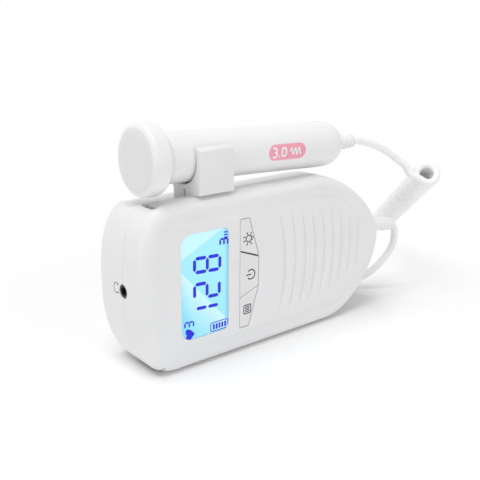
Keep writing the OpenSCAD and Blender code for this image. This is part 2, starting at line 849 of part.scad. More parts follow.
// Probe holder: a block with a flat front, a round back and a foot in the channel
clip_x = display_x + clip_from_end;
clip_bore = handle_diameter / 2 + clip_clearance;
clip_axis_z = probe_z - (clip_x - probe_x) * tan(probe_droop);
clip_base_z = body_height + clip_gap;
clip_outer = clip_bore + clip_arm;
clip_screw_shank = 2;
clip_screw_head = 4;
clip_screw_spread = clip_width / 4;
clip_screw_inset = 1.3;
clip_screw_y = parting_y + clip_screw_head / 2 + clip_screw_inset;
module probe_clip() {
    foot_y0 = channel_y0 + clip_clearance;
    foot_y1 = channel_y1 - clip_clearance;
    top_z = clip_axis_z + clip_reach;
    color("white")
        difference() {
            union() {
                translate([clip_x - clip_width / 2, 0, 0])
                    rotate([90, 0, 90])
                        linear_extrude(clip_width) {
                            translate([probe_y, clip_axis_z])
                                circle(clip_outer);
                            polygon([[probe_y - clip_outer, clip_base_z], [foot_y1, clip_base_z],
                                [probe_y + clip_bore, clip_axis_z], [probe_y + clip_outer, clip_axis_z],
                                [probe_y + clip_outer, top_z - clip_slope], [probe_y + clip_bore, top_z],
                                [probe_y - clip_bore, top_z], [probe_y - clip_outer, top_z - clip_slope]]);
                            translate([foot_y0, channel_floor])
                                square([foot_y1 - foot_y0, clip_base_z - channel_floor + clip_arm / 2]);
                        }
            }
            translate([clip_x, probe_y, clip_axis_z])
                rotate([0, probe_droop, 0]) {
                    rotate([0, 90, 0])
                        cylinder(r = clip_bore, h = 2 * clip_width, center = true);
                    translate([-clip_width, -clip_bore, 0])
                        cube([2 * clip_width, 2 * clip_bore, 2 * clip_outer]);
                }
            for (s = [-1, 1])
                translate([clip_x + s * clip_screw_spread, clip_screw_y, channel_floor - over])
                    cylinder(d = clip_screw_shank + fit, h = clip_base_z - channel_floor + over);
        }
}
module clip_screws() {
    color("silver")
        for (s = [-1, 1])
            translate([clip_x + s * clip_screw_spread, clip_screw_y, channel_floor - wall - screw_head_height]) {
                cylinder(d = clip_screw_head, h = screw_head_height);
                cylinder(d = clip_screw_shank, h = screw_head_height + wall + clip_base_z - channel_floor - fit);
            }
}

// Strain relief of the hand unit: flange inside, neck in the wall, tapered tail with grooves
relief_flange = 2.4;
relief_ring_count = 5;
module revolve_x(y, z, x) {
    translate([x, y, z])
        rotate([0, 90, 0])
            rotate_extrude()
                children();
}
// Shares of a rib's step at which its top ends, and its groove starts and ends
rib_shares = [0.6, 0.7, 0.9];
// Radial profile of a grooved taper from radius ra to rb over a length, as (radius, distance)
function ribbed(ra, rb, length, count, groove) = [for (k = [0 : count - 1]) let (
        step = length / count,
        r0 = ra + (rb - ra) * k / count,
        r1 = ra + (rb - ra) * (k + 1) / count)
    each k == count - 1
        ? [[r0, k * step], [r1, length]]
        : [[r0, k * step], [r1, (k + rib_shares[0]) * step],
            [r1 - groove, (k + rib_shares[1]) * step], [r1 - groove, (k + rib_shares[2]) * step]]];
relief_groove = 0.45;
// Length of the neck through the curved wall
relief_neck_length = 4.8;
relief_x0 = cord_x + fit / 2;
relief_sides = 16;
function relief_point(s) = [relief_x0 + s, parting_y,
    relief_z - body_relief_droop * pow(s / body_relief_length, 2)];
function relief_heading(s) = unit([1, 0, -2 * body_relief_droop * s / pow(body_relief_length, 2)]);
module body_strain_relief() {
    inner = relief_neck_length;
    sleeve = ribbed(body_relief_root / 2, body_relief_tip / 2, body_relief_length,
        relief_ring_count, relief_groove);
    color("whitesmoke")
        union() {
            revolve_x(parting_y, relief_z, relief_x0)
                polygon([[0, boss_wall], [0, -inner - relief_flange],
                    [body_relief_root / 2 + boss_wall, -inner - relief_flange],
                    [body_relief_root / 2 + boss_wall, -inner], [relief_neck / 2, -inner],
                    [relief_neck / 2, boss_wall]]);
            loft([for (k = [len(sleeve) - 1 : -1 : 0]) tube_ring(relief_point(sleeve[k][1]),
                relief_heading(sleeve[k][1]), [0, 1, 0], sleeve[k][0], relief_sides)]);
        }
}

// Probe head: a cup whose shoulder runs down to the handle
head_r = head_diameter / 2;
handle_r = handle_diameter / 2;
head_end = head_length + shoulder_length;
face_r = head_r - head_rim;
cup_r = crystal_diameter / 2 + fit;
cup_end = face_depth + crystal_depth + backing_depth;
socket_depth = 4;
shoulder_steps = 8;
bore_r = handle_r - handle_wall - handle_waist / 2;
spigot_r = bore_r + handle_wall / 2;
function shoulder_r(t) = handle_r + (head_r - handle_r) * (1 + cos(180 * t)) / 2;
module revolve_probe() {
    on_probe()
        rotate([0, 90, 0])
            rotate_extrude()
                children();
}
module probe_head() {
    rim = [for (k = [0 : edge_steps]) let (a = 90 * k / edge_steps)
        [face_r + head_rim * sin(a), head_rim * (1 - cos(a))]];
    shoulder = [for (k = [0 : shoulder_steps]) let (t = k / shoulder_steps)
        [shoulder_r(t), head_length + shoulder_length * t]];
    color("whitesmoke")
        revolve_probe()
            polygon(concat([[cup_r, cup_end], [cup_r, face_depth], [face_r - fit, face_depth], [face_r - fit, 0]],
                rim, shoulder, [[spigot_r + fit / 2, head_end], [spigot_r + fit / 2, cup_end]]));
}
module probe_face() {
    color("whitesmoke")
        revolve_probe()
            square([face_r - 2 * fit, face_depth]);
}

// Two half-round crystals, one sends and one listens, glued behind the face
module half_crystal(side) {
    on_probe()
        rotate([0, 90, 0])
            translate([0, 0, face_depth])
                linear_extrude(crystal_depth)
                    intersection() {
                        circle(d = crystal_diameter);
                        translate([-crystal_diameter / 2, side > 0 ? crystal_gap / 2 : -crystal_diameter])
                            square([crystal_diameter, crystal_diameter - crystal_gap / 2]);
                    }
}
module crystal_emitter() {
    color("goldenrod")
        half_crystal(1);
}
module crystal_receiver() {
    color("goldenrod")
        half_crystal(-1);
}
module crystal_backing() {
    color("dimgray")
        revolve_probe()
            translate([0, face_depth + crystal_depth])
                square([crystal_diameter / 2, backing_depth]);
}

// Handle: a tube with a slight waist, a rounded tail, and a spigot that plugs into the head
tail_steps = 8;
waist_steps = 8;
tail_r = tail_flat / 2;
tail_start = handle_end - tail_length;
function handle_radius(t) = handle_r - handle_waist / 2 * sin(180 * t);
module probe_handle() {
    skin = [for (k = [0 : waist_steps]) let (t = k / waist_steps)
        [handle_radius(t), head_end + (tail_start - head_end) * t]];
    tail = [for (k = [1 : tail_steps]) let (a = 90 * k / tail_steps)
        [tail_r + (handle_r - tail_r) * cos(a), tail_start + tail_length * sin(a)]];
    color("whitesmoke")
        revolve_probe()
            polygon(concat([[bore_r, cup_end + fit], [spigot_r, cup_end + fit], [spigot_r, head_end]],
                skin, tail, [[0, handle_end], [0, handle_end - handle_wall], [tail_r - fit, handle_end - handle_wall],
                [bore_r, tail_start - fit]]));
}

// Narrow board in the handle that drives the crystals
probe_board_length = 52;
probe_board_depth = 1.2;
module probe_board() {
    half = sqrt(bore_r * bore_r - probe_board_depth * probe_board_depth) - fit;
    color("seagreen")
        on_probe()
            translate([head_end + socket_depth, -half, -probe_board_depth / 2])
                cube([probe_board_length, 2 * half, probe_board_depth]);
}

// Coloured label: a thin curved patch on the front of the handle
module probe_label() {
    label_r = handle_radius((label_from_face - head_end) / (tail_start - head_end));
    patch = label_height / label_r * 180 / PI;
    round_r = label_height / 2;
    color("lightpink")
        on_probe()
            intersection() {
                translate([label_from_face - label_length / 2, 0, 0])
                    rotate([0, 90, 0])
                        rotate([0, 0, -90 - patch / 2])
                            rotate_extrude(angle = patch)
                                translate([label_r + fit, 0])
                                    square([label_depth, label_length]);
                rotate([90, 0, 0])
                    linear_extrude(2 * label_r) {
                        translate([label_from_face - label_length / 2 + round_r, -label_height])
                            square([label_length - 2 * round_r, 2 * label_height]);
                        for (s = [-1, 1])
                            translate([label_from_face + s * (label_length / 2 - round_r), 0])
                                circle(round_r);
                    }
            }
}

// Strain relief of the probe: grooved taper on the flat of the tail
probe_relief_rings = 4;
module probe_strain_relief() {
    color("whitesmoke")
        on_probe()
            translate([handle_end, 0, 0])
                rotate([0, 90, 0])
                    rotate_extrude()
                        polygon(concat([[0, probe_relief_length], [0, 0]],
                            ribbed(probe_relief_root / 2, probe_relief_tip / 2, probe_relief_length,
                                probe_relief_rings, relief_groove)));
}

// Cord as one tube through a list of points: rings stand square to the route
function unit(v) = v / norm(v);
function tangent(path, k) = unit(
    k == 0 ? path[1] - path[0] :
    k == len(path) - 1 ? path[k] - path[k - 1] :
    unit(path[k + 1] - path[k]) + unit(path[k] - path[k - 1]));
function tube_ring(c, t, side, r, sides) = let (e = unit(side - (side * t) * t), g = cross(t, e))
    [for (j = [0 : sides - 1]) let (a = 360 * j / sides) c + r * (cos(a) * e + sin(a) * g)];
function carried(path, side) = [for (k = 0, s = side; k < len(path);
    s = k + 1 < len(path) ? unit(s - (s * tangent(path, k + 1)) * tangent(path, k + 1)) : s, k = k + 1) s];
module tube(path, d, sides, side) {
    frame = carried(path, side);
    loft([for (k = [0 : len(path) - 1]) tube_ring(path[k], tangent(path, k), frame[k], d / 2, sides)]);
}
lead_sides = 8;
up = [0, 0, 1];

// Curly part: its axis leans from the probe's lead down to the surface behind the unit
coil_start = [102, -14, 61];
coil_end = [166, 67, 6.3];
coil_first = 230;
coil_last = 135;
coil_rings = 8;
coil_sides = 6;
coil_axis = unit(coil_end - coil_start);
coil_right = unit(cross(coil_axis, up));
coil_up = cross(coil_right, coil_axis);
coil_r = (coil_diameter - cord_diameter) / 2;
coil_turn = 360 * coil_curls + coil_last - coil_first;
coil_span = norm(coil_end - coil_start);
function coil_point(t) = let (a = coil_first + coil_turn * t)
    coil_start + coil_axis * coil_span * t + coil_r * (cos(a) * coil_right + sin(a) * coil_up);
function coil_heading(t) = let (a = coil_first + coil_turn * t)
    unit(coil_axis * coil_span + coil_r * coil_turn * PI / 180 * (cos(a) * coil_up - sin(a) * coil_right));
coil_steps = coil_curls * coil_rings;
coil_in = coil_point(0) - cord_diameter * coil_heading(0);
coil_out = coil_point(1) + cord_diameter * coil_heading(1);
coil_path = concat([coil_in], [for (k = [0 : coil_steps]) coil_point(k / coil_steps)], [coil_out]);
module cord_coil() {
    color("whitesmoke")
        tube(coil_path, cord_diameter, coil_sides, coil_axis);
}
// Least gap between one curl and the next, measured on points of the centre line
coil_gap = min([for (k = [0 : coil_steps - coil_rings - 3]) for (j = [coil_rings - 2 : coil_rings + 2])
    norm(coil_point(k / coil_steps) - coil_point((k + j) / coil_steps))]) - cord_diameter;
echo("least gap between curls", coil_gap);

// Lead from the probe's relief to the curly part
probe_tip = probe_point(handle_end + probe_relief_length);
probe_heading = probe_point(1) - probe_point(0);
probe_lead_path = concat([probe_tip, probe_tip + cord_diameter * probe_heading], [
    [69.4, -2.2, 77.9],
    [76.9, -3.1, 75.1],
    [83.8, -4.4, 71.2],
    [88.8, -6, 67.4],
    [92.2, -7.6, 64.6]],
    [coil_in - cord_diameter * coil_heading(0), coil_in]);
module cord_probe_lead() {
    color("whitesmoke")
        tube(probe_lead_path, cord_diameter, lead_sides, up);
}

// Lead from the hand unit's relief, down behind the cord end and along the surface to the coil
body_tip = relief_point(body_relief_length);
body_lead_path = concat([body_tip, body_tip + cord_diameter / 2 * relief_heading(body_relief_length)], [
    [93, -2.5, 31.2],
    [93.8, -2.4, 27.6],
    [93.5, -2.2, 22.8],
    [91, -1.6, 18.2],
    [86.2, -0.4, 13],
    [80.3, 2, 7.9],
    [74.6, 6.4, 4.6],
    [69, 12.4, 3],
    [64.6, 19.4, 2.1],
    [62.4, 27, 1.9],
    [63.6, 34.6, 1.9],
    [68.4, 41.2, 1.9],
    [75.8, 46, 1.9],
    [84.6, 50, 1.9],
    [94, 54, 1.9],
    [103.6, 58, 1.9],
    [113.4, 61.8, 1.9],
    [123.2, 65.4, 1.9],
    [132.8, 68.6, 1.9],
    [142.2, 71.2, 1.9],
    [149.2, 72.4, 2.2],
    [154.6, 72.7, 3.2]],
    [coil_out + cord_diameter * coil_heading(1), coil_out]);
module cord_body_lead() {
    color("whitesmoke")
        tube(body_lead_path, cord_diameter, lead_sides, up);
}

front_shell();
rear_shell();
battery_cover();
lcd_window();
lcd_panel();
backlight();
key_light();
key_power();
key_mode();
tact_switches();
main_board();
board_chips();
headphone_jack();
battery_cells();
battery_contacts();
battery_springs();
speaker_frame();
speaker_magnet();
speaker_cone();
shell_screws();
probe_clip();
clip_screws();
body_strain_relief();
probe_head();
probe_face();
crystal_emitter();
crystal_receiver();
crystal_backing();
probe_handle();
probe_board();
probe_label();
probe_strain_relief();
cord_body_lead();
cord_coil();
cord_probe_lead();
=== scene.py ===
# %% [markdown]
# # A pocket fetal doppler
#
# The hand unit stands on its long side with its probe clipped along the top, and a curly cord
# joins the two. The imported CAD model is the fixed frame of this lesson: it is loaded first and never
# moved. Most visible surfaces are then worked out with numpy, in the same frame, and laid over it.

# %% Load the frame
import json
import math

import bmesh
import bpy
import numpy as np
from mathutils import Matrix


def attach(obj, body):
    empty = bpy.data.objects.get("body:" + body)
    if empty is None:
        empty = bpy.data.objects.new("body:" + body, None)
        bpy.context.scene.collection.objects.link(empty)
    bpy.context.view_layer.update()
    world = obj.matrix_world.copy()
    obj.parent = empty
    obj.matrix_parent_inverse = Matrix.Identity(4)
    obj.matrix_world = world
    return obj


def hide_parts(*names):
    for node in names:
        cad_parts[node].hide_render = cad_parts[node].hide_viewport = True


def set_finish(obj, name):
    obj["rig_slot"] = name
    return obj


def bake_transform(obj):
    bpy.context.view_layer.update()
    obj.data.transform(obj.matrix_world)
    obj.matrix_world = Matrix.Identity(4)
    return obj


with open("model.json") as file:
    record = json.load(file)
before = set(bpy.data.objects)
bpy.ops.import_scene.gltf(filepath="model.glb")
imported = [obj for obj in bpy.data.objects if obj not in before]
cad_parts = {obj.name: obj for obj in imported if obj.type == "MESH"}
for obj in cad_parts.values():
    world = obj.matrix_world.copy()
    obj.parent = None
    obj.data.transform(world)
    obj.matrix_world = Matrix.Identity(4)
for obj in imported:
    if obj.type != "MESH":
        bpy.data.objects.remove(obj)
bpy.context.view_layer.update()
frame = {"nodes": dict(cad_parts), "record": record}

print("nodes in the frame:", len(frame["nodes"]))

# %% [markdown]
# ## Camera
#
# A camera can be placed by eye or solved from known corners. This one was solved from the outline of
# the hand unit, the window and the probe, so its turn is kept as three angles: yaw towards the cord
# end, pitch down, and a small roll.

# %% Place the camera
MM = 0.001
EYE = (-202.58, -238.72, 140.35)
YAW, PITCH, ROLL = (math.radians(a) for a in (39.25, 17.46, 0.42))
LENS, SENSOR = 56.0, 36.0


def camera_axes(yaw, pitch, roll):
    """Right, up and back of a camera: ahead = (cos pitch * sin yaw, cos pitch * cos yaw, -sin pitch)."""
    ahead = np.array([math.cos(pitch) * math.sin(yaw), math.cos(pitch) * math.cos(yaw), -math.sin(pitch)])
    right = np.array([math.cos(yaw), -math.sin(yaw), 0.0])
    up = np.cross(right, ahead)
    tilted_right = right * math.cos(roll) + up * math.sin(roll)
    tilted_up = up * math.cos(roll) - right * math.sin(roll)
    return tilted_right, tilted_up, -ahead


camera_data = bpy.data.cameras.new("camera")
camera_data.lens = LENS
camera_data.sensor_width = SENSOR
camera_data.clip_start = 0.01
camera = bpy.data.objects.new("camera", camera_data)
bpy.context.scene.collection.objects.link(camera)
turn = np.eye(4)
turn[:3, :3] = np.array(camera_axes(YAW, PITCH, ROLL)).T
turn[:3, 3] = np.array(EYE) * MM
camera.matrix_world = Matrix(turn.tolist())
bpy.context.scene.camera = camera
print("camera at", EYE, "mm")

# %% [markdown]
# ## From arrays to meshes
#
# All shapes below are grids of points: one parameter runs along the rows, one across. Such a grid could
# be filled in point by point, but numpy works out all of it at once. Three helpers turn grids into mesh
# objects, so that each later cell holds only the formula of its own form.


# %% Helpers that put arrays into meshes
def piece(name, points, faces, smooth=35.0):
    """Mesh object from points in millimetres and faces as index lists, smooth below an angle."""
    mesh = bpy.data.meshes.new(name)
    mesh.from_pydata((np.asarray(points, float) * MM).tolist(), [], [list(map(int, f)) for f in faces])
    mesh.validate()
    work = bmesh.new()
    work.from_mesh(mesh)
    bmesh.ops.recalc_face_normals(work, faces=work.faces)
    work.to_mesh(mesh)
    work.free()
    mesh.update()
    made = bpy.data.objects.new(name, mesh)
    bpy.context.scene.collection.objects.link(made)
    mesh.shade_smooth()
    mesh.set_sharp_from_angle(angle=math.radians(smooth))
    return made


def grid_faces(rows, columns):
    """Quads between neighbouring rows of a grid. The last column meets the first."""
    r, c = np.meshgrid(np.arange(rows - 1), np.arange(columns), indexing="ij")
    n = (c + 1) % columns
    quads = np.stack([r * columns + c, r * columns + n, (r + 1) * columns + n, (r + 1) * columns + c], -1)
    return quads.reshape(-1, 4).tolist()


def loft(name, rings, smooth=35.0):
    """Closed solid through rings of equal length, with a flat cap on the first and the last ring."""
    stack = np.array(rings, float)
    rows, columns = stack.shape[:2]
    faces = grid_faces(rows, columns)
    faces.append(list(range(columns - 1, -1, -1)))
    faces.append(list(range((rows - 1) * columns, rows * columns)))
    return piece(name, stack.reshape(-1, 3), faces, smooth)


# %% [markdown]
# ## Cord
#
# The cord is one length of soft tube, about 1.1 m of it, most of it wound into the curly part. Its
# centre line repeats the route of the CAD model: a lead from the unit, 28 curls on a leaning axis, and
# a lead to the probe. A curve object could do it, but a swept array keeps the curls exact.

# %% The cord's route
CORD = 3.6
COIL_START = np.array([102.0, -14.0, 61.0])
COIL_END = np.array([166.0, 67.0, 6.3])
COIL_CURLS, COIL_FIRST, COIL_LAST = 28, 230.0, 135.0
COIL_RADIUS = 5.0
UNIT_ROOT, UNIT_SLEEVE, UNIT_DROOP = np.array([67.575, -2.5, 36.95]), 22.0, 3.0
UNIT_TIP = UNIT_ROOT + [UNIT_SLEEVE, 0.0, -UNIT_DROOP]
UNIT_AHEAD = np.array([1.0, 0.0, -2 * UNIT_DROOP / UNIT_SLEEVE])
PROBE_FACE = np.array([-60.1, -1.8, 84.9])
DROOP = math.radians(2.4)
PROBE_AHEAD = np.array([math.cos(DROOP), 0.0, -math.sin(DROOP)])
PROBE_LENGTH = 118.2
PROBE_TIP = PROBE_FACE + PROBE_LENGTH * PROBE_AHEAD
UNIT_LEAD = [
    (93.0, -2.5, 31.2), (93.8, -2.4, 27.6), (93.5, -2.2, 22.8), (91.0, -1.6, 18.2), (86.2, -0.4, 13.0),
    (80.3, 2.0, 7.9), (74.6, 6.4, 4.6), (69.0, 12.4, 3.0), (64.6, 19.4, 2.1), (62.4, 27.0, 1.9),
    (63.6, 34.6, 1.9), (68.4, 41.2, 1.9), (75.8, 46.0, 1.9), (84.6, 50.0, 1.9), (94.0, 54.0, 1.9),
    (103.6, 58.0, 1.9), (113.4, 61.8, 1.9), (123.2, 65.4, 1.9), (132.8, 68.6, 1.9), (142.2, 71.2, 1.9),
    (149.2, 72.4, 2.2), (154.6, 72.7, 3.2)]
PROBE_LEAD = [
    (69.4, -2.2, 77.9), (76.9, -3.1, 75.1), (83.8, -4.4, 71.2), (88.8, -6.0, 67.4), (92.2, -7.6, 64.6)]
print("points set along the leads:", len(UNIT_LEAD), len(PROBE_LEAD))


# %% Lines for curls and leads
def unit(v):
    """Vectors scaled to length one, along the last axis."""
    v = np.asarray(v, float)
    return v / np.linalg.norm(v, axis=-1, keepdims=True)


def coil_line(per_turn):
    """Helix: the axis point plus radius * (cos(angle) * right + sin(angle) * up), all along the axis."""
    axis = unit(COIL_END - COIL_START)
    right = unit(np.cross(axis, [0.0, 0.0, 1.0]))
    up = np.cross(right, axis)
    t = np.linspace(0.0, 1.0, COIL_CURLS * per_turn + 1)[:, None]
    angle = np.radians(COIL_FIRST + (360.0 * COIL_CURLS + COIL_LAST - COIL_FIRST) * t)
    spoke = np.cos(angle) * right + np.sin(angle) * up
    return COIL_START + (COIL_END - COIL_START) * t + COIL_RADIUS * spoke


def eased(points, step):
    """Smooth line through the points, cut at an even step: a cardinal spline in array form."""
    p = np.asarray(points, float)
    p = np.vstack([2 * p[0] - p[1], p, 2 * p[-1] - p[-2]])
    t = np.linspace(0.0, 1.0, 12, endpoint=False)[:, None, None]
    a, b, c, d = p[:-3], p[1:-2], p[2:-1], p[3:]
    line = 0.5 * (2 * b + (c - a) * t + (2 * a - 5 * b + 4 * c - d) * t**2 + (3 * b - a - 3 * c + d) * t**3)
    line = np.vstack([line.transpose(1, 0, 2).reshape(-1, 3), p[-2]])
    far = np.concatenate([[0.0], np.cumsum(np.linalg.norm(np.diff(line, axis=0), axis=1))])
    even = np.linspace(0.0, far[-1], max(2, int(round(far[-1] / step)) + 1))
    return np.column_stack([np.interp(even, far, line[:, k]) for k in range(3)])


# %% The centre line from unit to probe
CURL_STEPS, CORD_STEP = 16, 1.4
coil = coil_line(CURL_STEPS)
near, far = CORD * unit(coil[1] - coil[0]), CORD * unit(coil[-1] - coil[-2])
coil_in, coil_out = coil[0] - near, coil[-1] + far
from_coil, into_coil = coil_in - near, coil_out + far
sleeve_end = UNIT_TIP + CORD / 2 * unit(UNIT_AHEAD)
tail_end = PROBE_TIP + CORD * PROBE_AHEAD
unit_lead = eased([UNIT_TIP, sleeve_end, *UNIT_LEAD, into_coil, coil_out], CORD_STEP)
probe_lead = eased([coil_in, from_coil, *PROBE_LEAD[::-1], tail_end, PROBE_TIP], CORD_STEP)
cord_line = np.vstack([unit_lead, coil[::-1], probe_lead])


# %% Sweep the cord
def tube(name, line, radius, sides):
    """Centre + radius * (cos * across + sin * above), on rings square to the line that don't twist."""
    ahead = unit(np.gradient(line, axis=0))
    side = unit(np.cross(ahead[0], [0.3, 0.2, 1.0]))
    sides_on = []
    for t in ahead:
        side = unit(side - (side @ t) * t)
        sides_on.append(side)
    across = np.array(sides_on)
    above = np.cross(ahead, across)
    angle = np.linspace(0.0, 2 * math.pi, sides, endpoint=False)[None, :, None]
    spoke = np.cos(angle) * across[:, None, :] + np.sin(angle) * above[:, None, :]
    return loft(name, line[:, None, :] + radius * spoke, 60.0)


cord = tube("cord", cord_line, CORD / 2, 12)
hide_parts("cord_body_lead", "cord_coil", "cord_probe_lead")
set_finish(cord, "cord")
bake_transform(cord)
print("cord faces:", len(cord.data.polygons))

# %% [markdown]
# ## Turned pieces
#
# The probe and every round bore are turned: a profile of radius against distance is carried round an
# axis. A Screw modifier would do the same, but the array keeps every radius in sight.


# %% Turn a profile round an axis
def turned(name, profile, start, ahead, sides=96):
    """Point at distance s and radius r: start + s * ahead + r * (cos * across + sin * above)."""
    profile = np.asarray(profile, float)
    ahead = unit(ahead)
    across = unit(np.cross([0.0, 1.0, 0.0] if abs(ahead[1]) < 0.9 else [1.0, 0.0, 0.0], ahead))
    above = np.cross(ahead, across)
    angle = np.linspace(0.0, 2 * math.pi, sides, endpoint=False)[None, :, None]
    spoke = np.cos(angle) * across + np.sin(angle) * above
    s, r = profile[:, None, None, 0], profile[:, None, None, 1]
    rings = np.asarray(start, float) + s * ahead + r * spoke[None]
    return loft(name, rings.reshape(len(profile), sides, 3))


def quarter(start, end, count):
    """Quarter of an ellipse from one (distance, radius) to the other, bulging out."""
    a = np.linspace(0.0, math.pi / 2, count)
    s = start[0] + (end[0] - start[0]) * np.sin(a)
    r = start[1] + (end[1] - start[1]) * (1 - np.cos(a))
    return np.column_stack([s, r])


# %% [markdown]
# The probe's head is a cup with a softly rounded rim. Its shoulder runs down in half a cosine to the
# handle, which has a slight waist and ends in a rounded tail. Head and handle are one smooth line on
# the real product, with a hair-thin seam between them. The acoustic face lies inside the rim and goes
# on along the same quarter ellipse, so that light runs over both without a break.

# %% Probe head
HEAD_R, HANDLE_R, RIM = 14.2, 10.2, 2.0
HEAD_LENGTH, SHOULDER, SEAM, SEAM_WALL = 7.0, 4.5, 0.08, 1.0
SOFT_RISE, SOFT_DEPTH = 4.2, 2.2
FACE_R = HEAD_R - RIM
head_end = HEAD_LENGTH + SHOULDER


def face_curve(low, high, steps):
    """Quarter ellipse, as (distance, radius): s = depth * (1 - sqrt(1 - ((r - r0) / rise)^2))."""
    first, last = (math.asin((r - HEAD_R + SOFT_RISE) / SOFT_RISE) for r in (low, high))
    angle = np.linspace(first, last, steps)
    return np.column_stack([SOFT_DEPTH * (1 - np.cos(angle)), HEAD_R - SOFT_RISE * (1 - np.sin(angle))])


rim = face_curve(FACE_R, HEAD_R, 14)
t = np.linspace(0.0, 1.0, 24)
shoulder_r = HANDLE_R + (HEAD_R - HANDLE_R) * (1 + np.cos(math.pi * t)) / 2
shoulder = np.column_stack([HEAD_LENGTH + SHOULDER * t, shoulder_r])
head_seam = [[head_end + SEAM, HANDLE_R - SEAM], [head_end + SEAM, HANDLE_R - SEAM_WALL]]
cup_floor = [[1.6, FACE_R - 0.3]]
head = turned("probe_head_skin", np.vstack([cup_floor, rim, shoulder, head_seam]), PROBE_FACE, PROBE_AHEAD)
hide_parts("probe_head")
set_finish(head, "probe")
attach(head, "probe")
print("head faces:", len(head.data.polygons))

# %% Probe handle
HANDLE_END, TAIL, TAIL_R, WAIST = 105.4, 10.0, 4.4, 0.25
tail_start = HANDLE_END - TAIL
t = np.linspace(0.0, 1.0, 40)
barrel_s = head_end + SEAM + (tail_start - head_end - SEAM) * t
barrel = np.column_stack([barrel_s, HANDLE_R - WAIST * np.sin(math.pi * t)])
tail = quarter((tail_start, HANDLE_R), (HANDLE_END, TAIL_R), 18)
handle = turned("probe_handle_skin", np.vstack([head_seam[::-1], barrel, tail[1:]]), PROBE_FACE, PROBE_AHEAD)
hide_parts("probe_handle")
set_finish(handle, "probe")
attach(handle, "probe")
print("handle faces:", len(handle.data.polygons))

# %% Acoustic face
dome = face_curve(HEAD_R - SOFT_RISE, FACE_R - 0.03, 10)[::-1]
face_back = [[1.7, FACE_R - 0.32]]
face = turned("probe_face_skin", np.vstack([face_back, dome]), PROBE_FACE, PROBE_AHEAD)
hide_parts("probe_face")
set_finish(face, "face")
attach(face, "probe")
print("face faces:", len(face.data.polygons))

# %% [markdown]
# A strain relief is a soft sleeve with rings cut into a taper, so that it bends evenly. It could be a
# stack of rings, but one profile does it: the radius is the taper less a groove that repeats along it.
# The sleeve of the unit droops with its lead, so its rings stand square to a parabola.


# %% A ringed sleeve
def relief(name, start, ahead, length, root, tip, rings, depth, bury=0.0, droop=0.0):
    """Rings along a parabola. Radius: taper from root to tip, less a smooth groove repeated along it."""
    s = np.linspace(0.0, length, 24 * rings + 1)[1:-1]
    phase = np.mod(s / length * rings, 1.0)
    # A groove is the top of a cosine, and the last quarter of the last ring stays plain
    notch = np.clip(np.cos((phase - 0.72) * 2 * math.pi) * 1.9 - 0.9, 0.0, 1.0)
    notch *= s < length * (1 - 0.25 / rings)
    r = root + (tip - root) * s / length - depth * notch
    s = np.concatenate([[-bury - 0.01, -bury], s, [length - 0.15, length]])
    r = np.concatenate([[root - 1.2, root - 0.9 if bury else root - 0.25], r, [tip, tip - 0.3]])
    bent = np.clip(s, 0.0, None)[:, None]
    centre = np.asarray(start) + s[:, None] * ahead - [[0.0, 0.0, droop]] * (bent / length) ** 2
    along = unit(ahead - [[0.0, 0.0, 2 * droop]] * bent / length**2)
    side = np.array([0.0, 1.0, 0.0])
    across = np.cross(along, side)
    a = np.linspace(0.0, 2 * math.pi, 48, endpoint=False)[None, :, None]
    made = centre[:, None] + r[:, None, None] * (np.cos(a) * side + np.sin(a) * across[:, None])
    return loft(name, list(made), 40.0)


# %% Strain reliefs
probe_relief = relief("probe_relief_skin", PROBE_FACE + HANDLE_END * PROBE_AHEAD, PROBE_AHEAD,
                      length=12.8, root=4.0, tip=2.9, rings=4, depth=0.6)
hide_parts("probe_strain_relief")
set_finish(probe_relief, "relief")
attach(probe_relief, "probe")
unit_relief = relief("unit_relief_skin", UNIT_ROOT, np.array([1.0, 0.0, 0.0]),
                     length=UNIT_SLEEVE, root=3.8, tip=3.1, rings=5, depth=0.16, bury=1.4, droop=UNIT_DROOP)
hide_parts("body_strain_relief")
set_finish(unit_relief, "relief")
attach(unit_relief, "hand_unit")
print("reliefs:", len(probe_relief.data.polygons), len(unit_relief.data.polygons))

# %% [markdown]
# ## Shells
#
# Both shells follow one outline of four corners, each a quarter of a superellipse: the cord end is
# drawn long and lopsided, the display end is a fuller square-round. A shell is a stack of such
# outlines, drawn in step by step, which gives the rounded edges, the shallow valley round the panel and
# the inner wall in one closed skin. Openings are then cut with booleans, as a mould's cores would.

# %% Outline of the hand unit
LENGTH, HEIGHT, DEPTH = 135.0, 69.5, 32.0
MID = HEIGHT / 2
FRONT, BACK, PARTING = -DEPTH / 2, DEPTH / 2, -2.5
WALL, SIDE_WALL, SEAM_INSET, SEAM_CHAMFER = 2.0, 5.5, 0.22, 0.3
# Each corner: centre x and z, reach, rise, roundness, first angle
CORNERS = [
    (33.3, 36.0, 34.2, 36.0, 1.75, -90.0),
    (23.7, 36.0, 43.8, 33.5, 1.62, 0.0),
    (-50.5, MID, 17.0, MID, 2.75, 90.0),
    (-50.5, MID, 17.0, MID, 2.75, 180.0)]
CORNER_STEPS = 44


def outline(end_inset, side_inset):
    """x = cx + reach * |cos|^(2/n), z = cz + rise * |sin|^(2/n), with signs kept, corner by corner."""
    runs = []
    for number, (cx, cz, reach, rise, n, first) in enumerate(CORNERS):
        a = np.radians(first + 90.0 * np.arange(CORNER_STEPS + 1) / CORNER_STEPS)
        c, s = np.cos(a), np.sin(a)
        x = cx + (reach - end_inset) * np.sign(c) * np.abs(c).clip(1e-12) ** (2 / n)
        z = cz + (rise - side_inset) * np.sign(s) * np.abs(s).clip(1e-12) ** (2 / n)
        run = np.column_stack([x, z])
        runs.append(run[:-1] if number in (0, 2) else run)
    return np.vstack(runs)


VALLEY_FROM, VALLEY_FADE = 9.5, 26.0


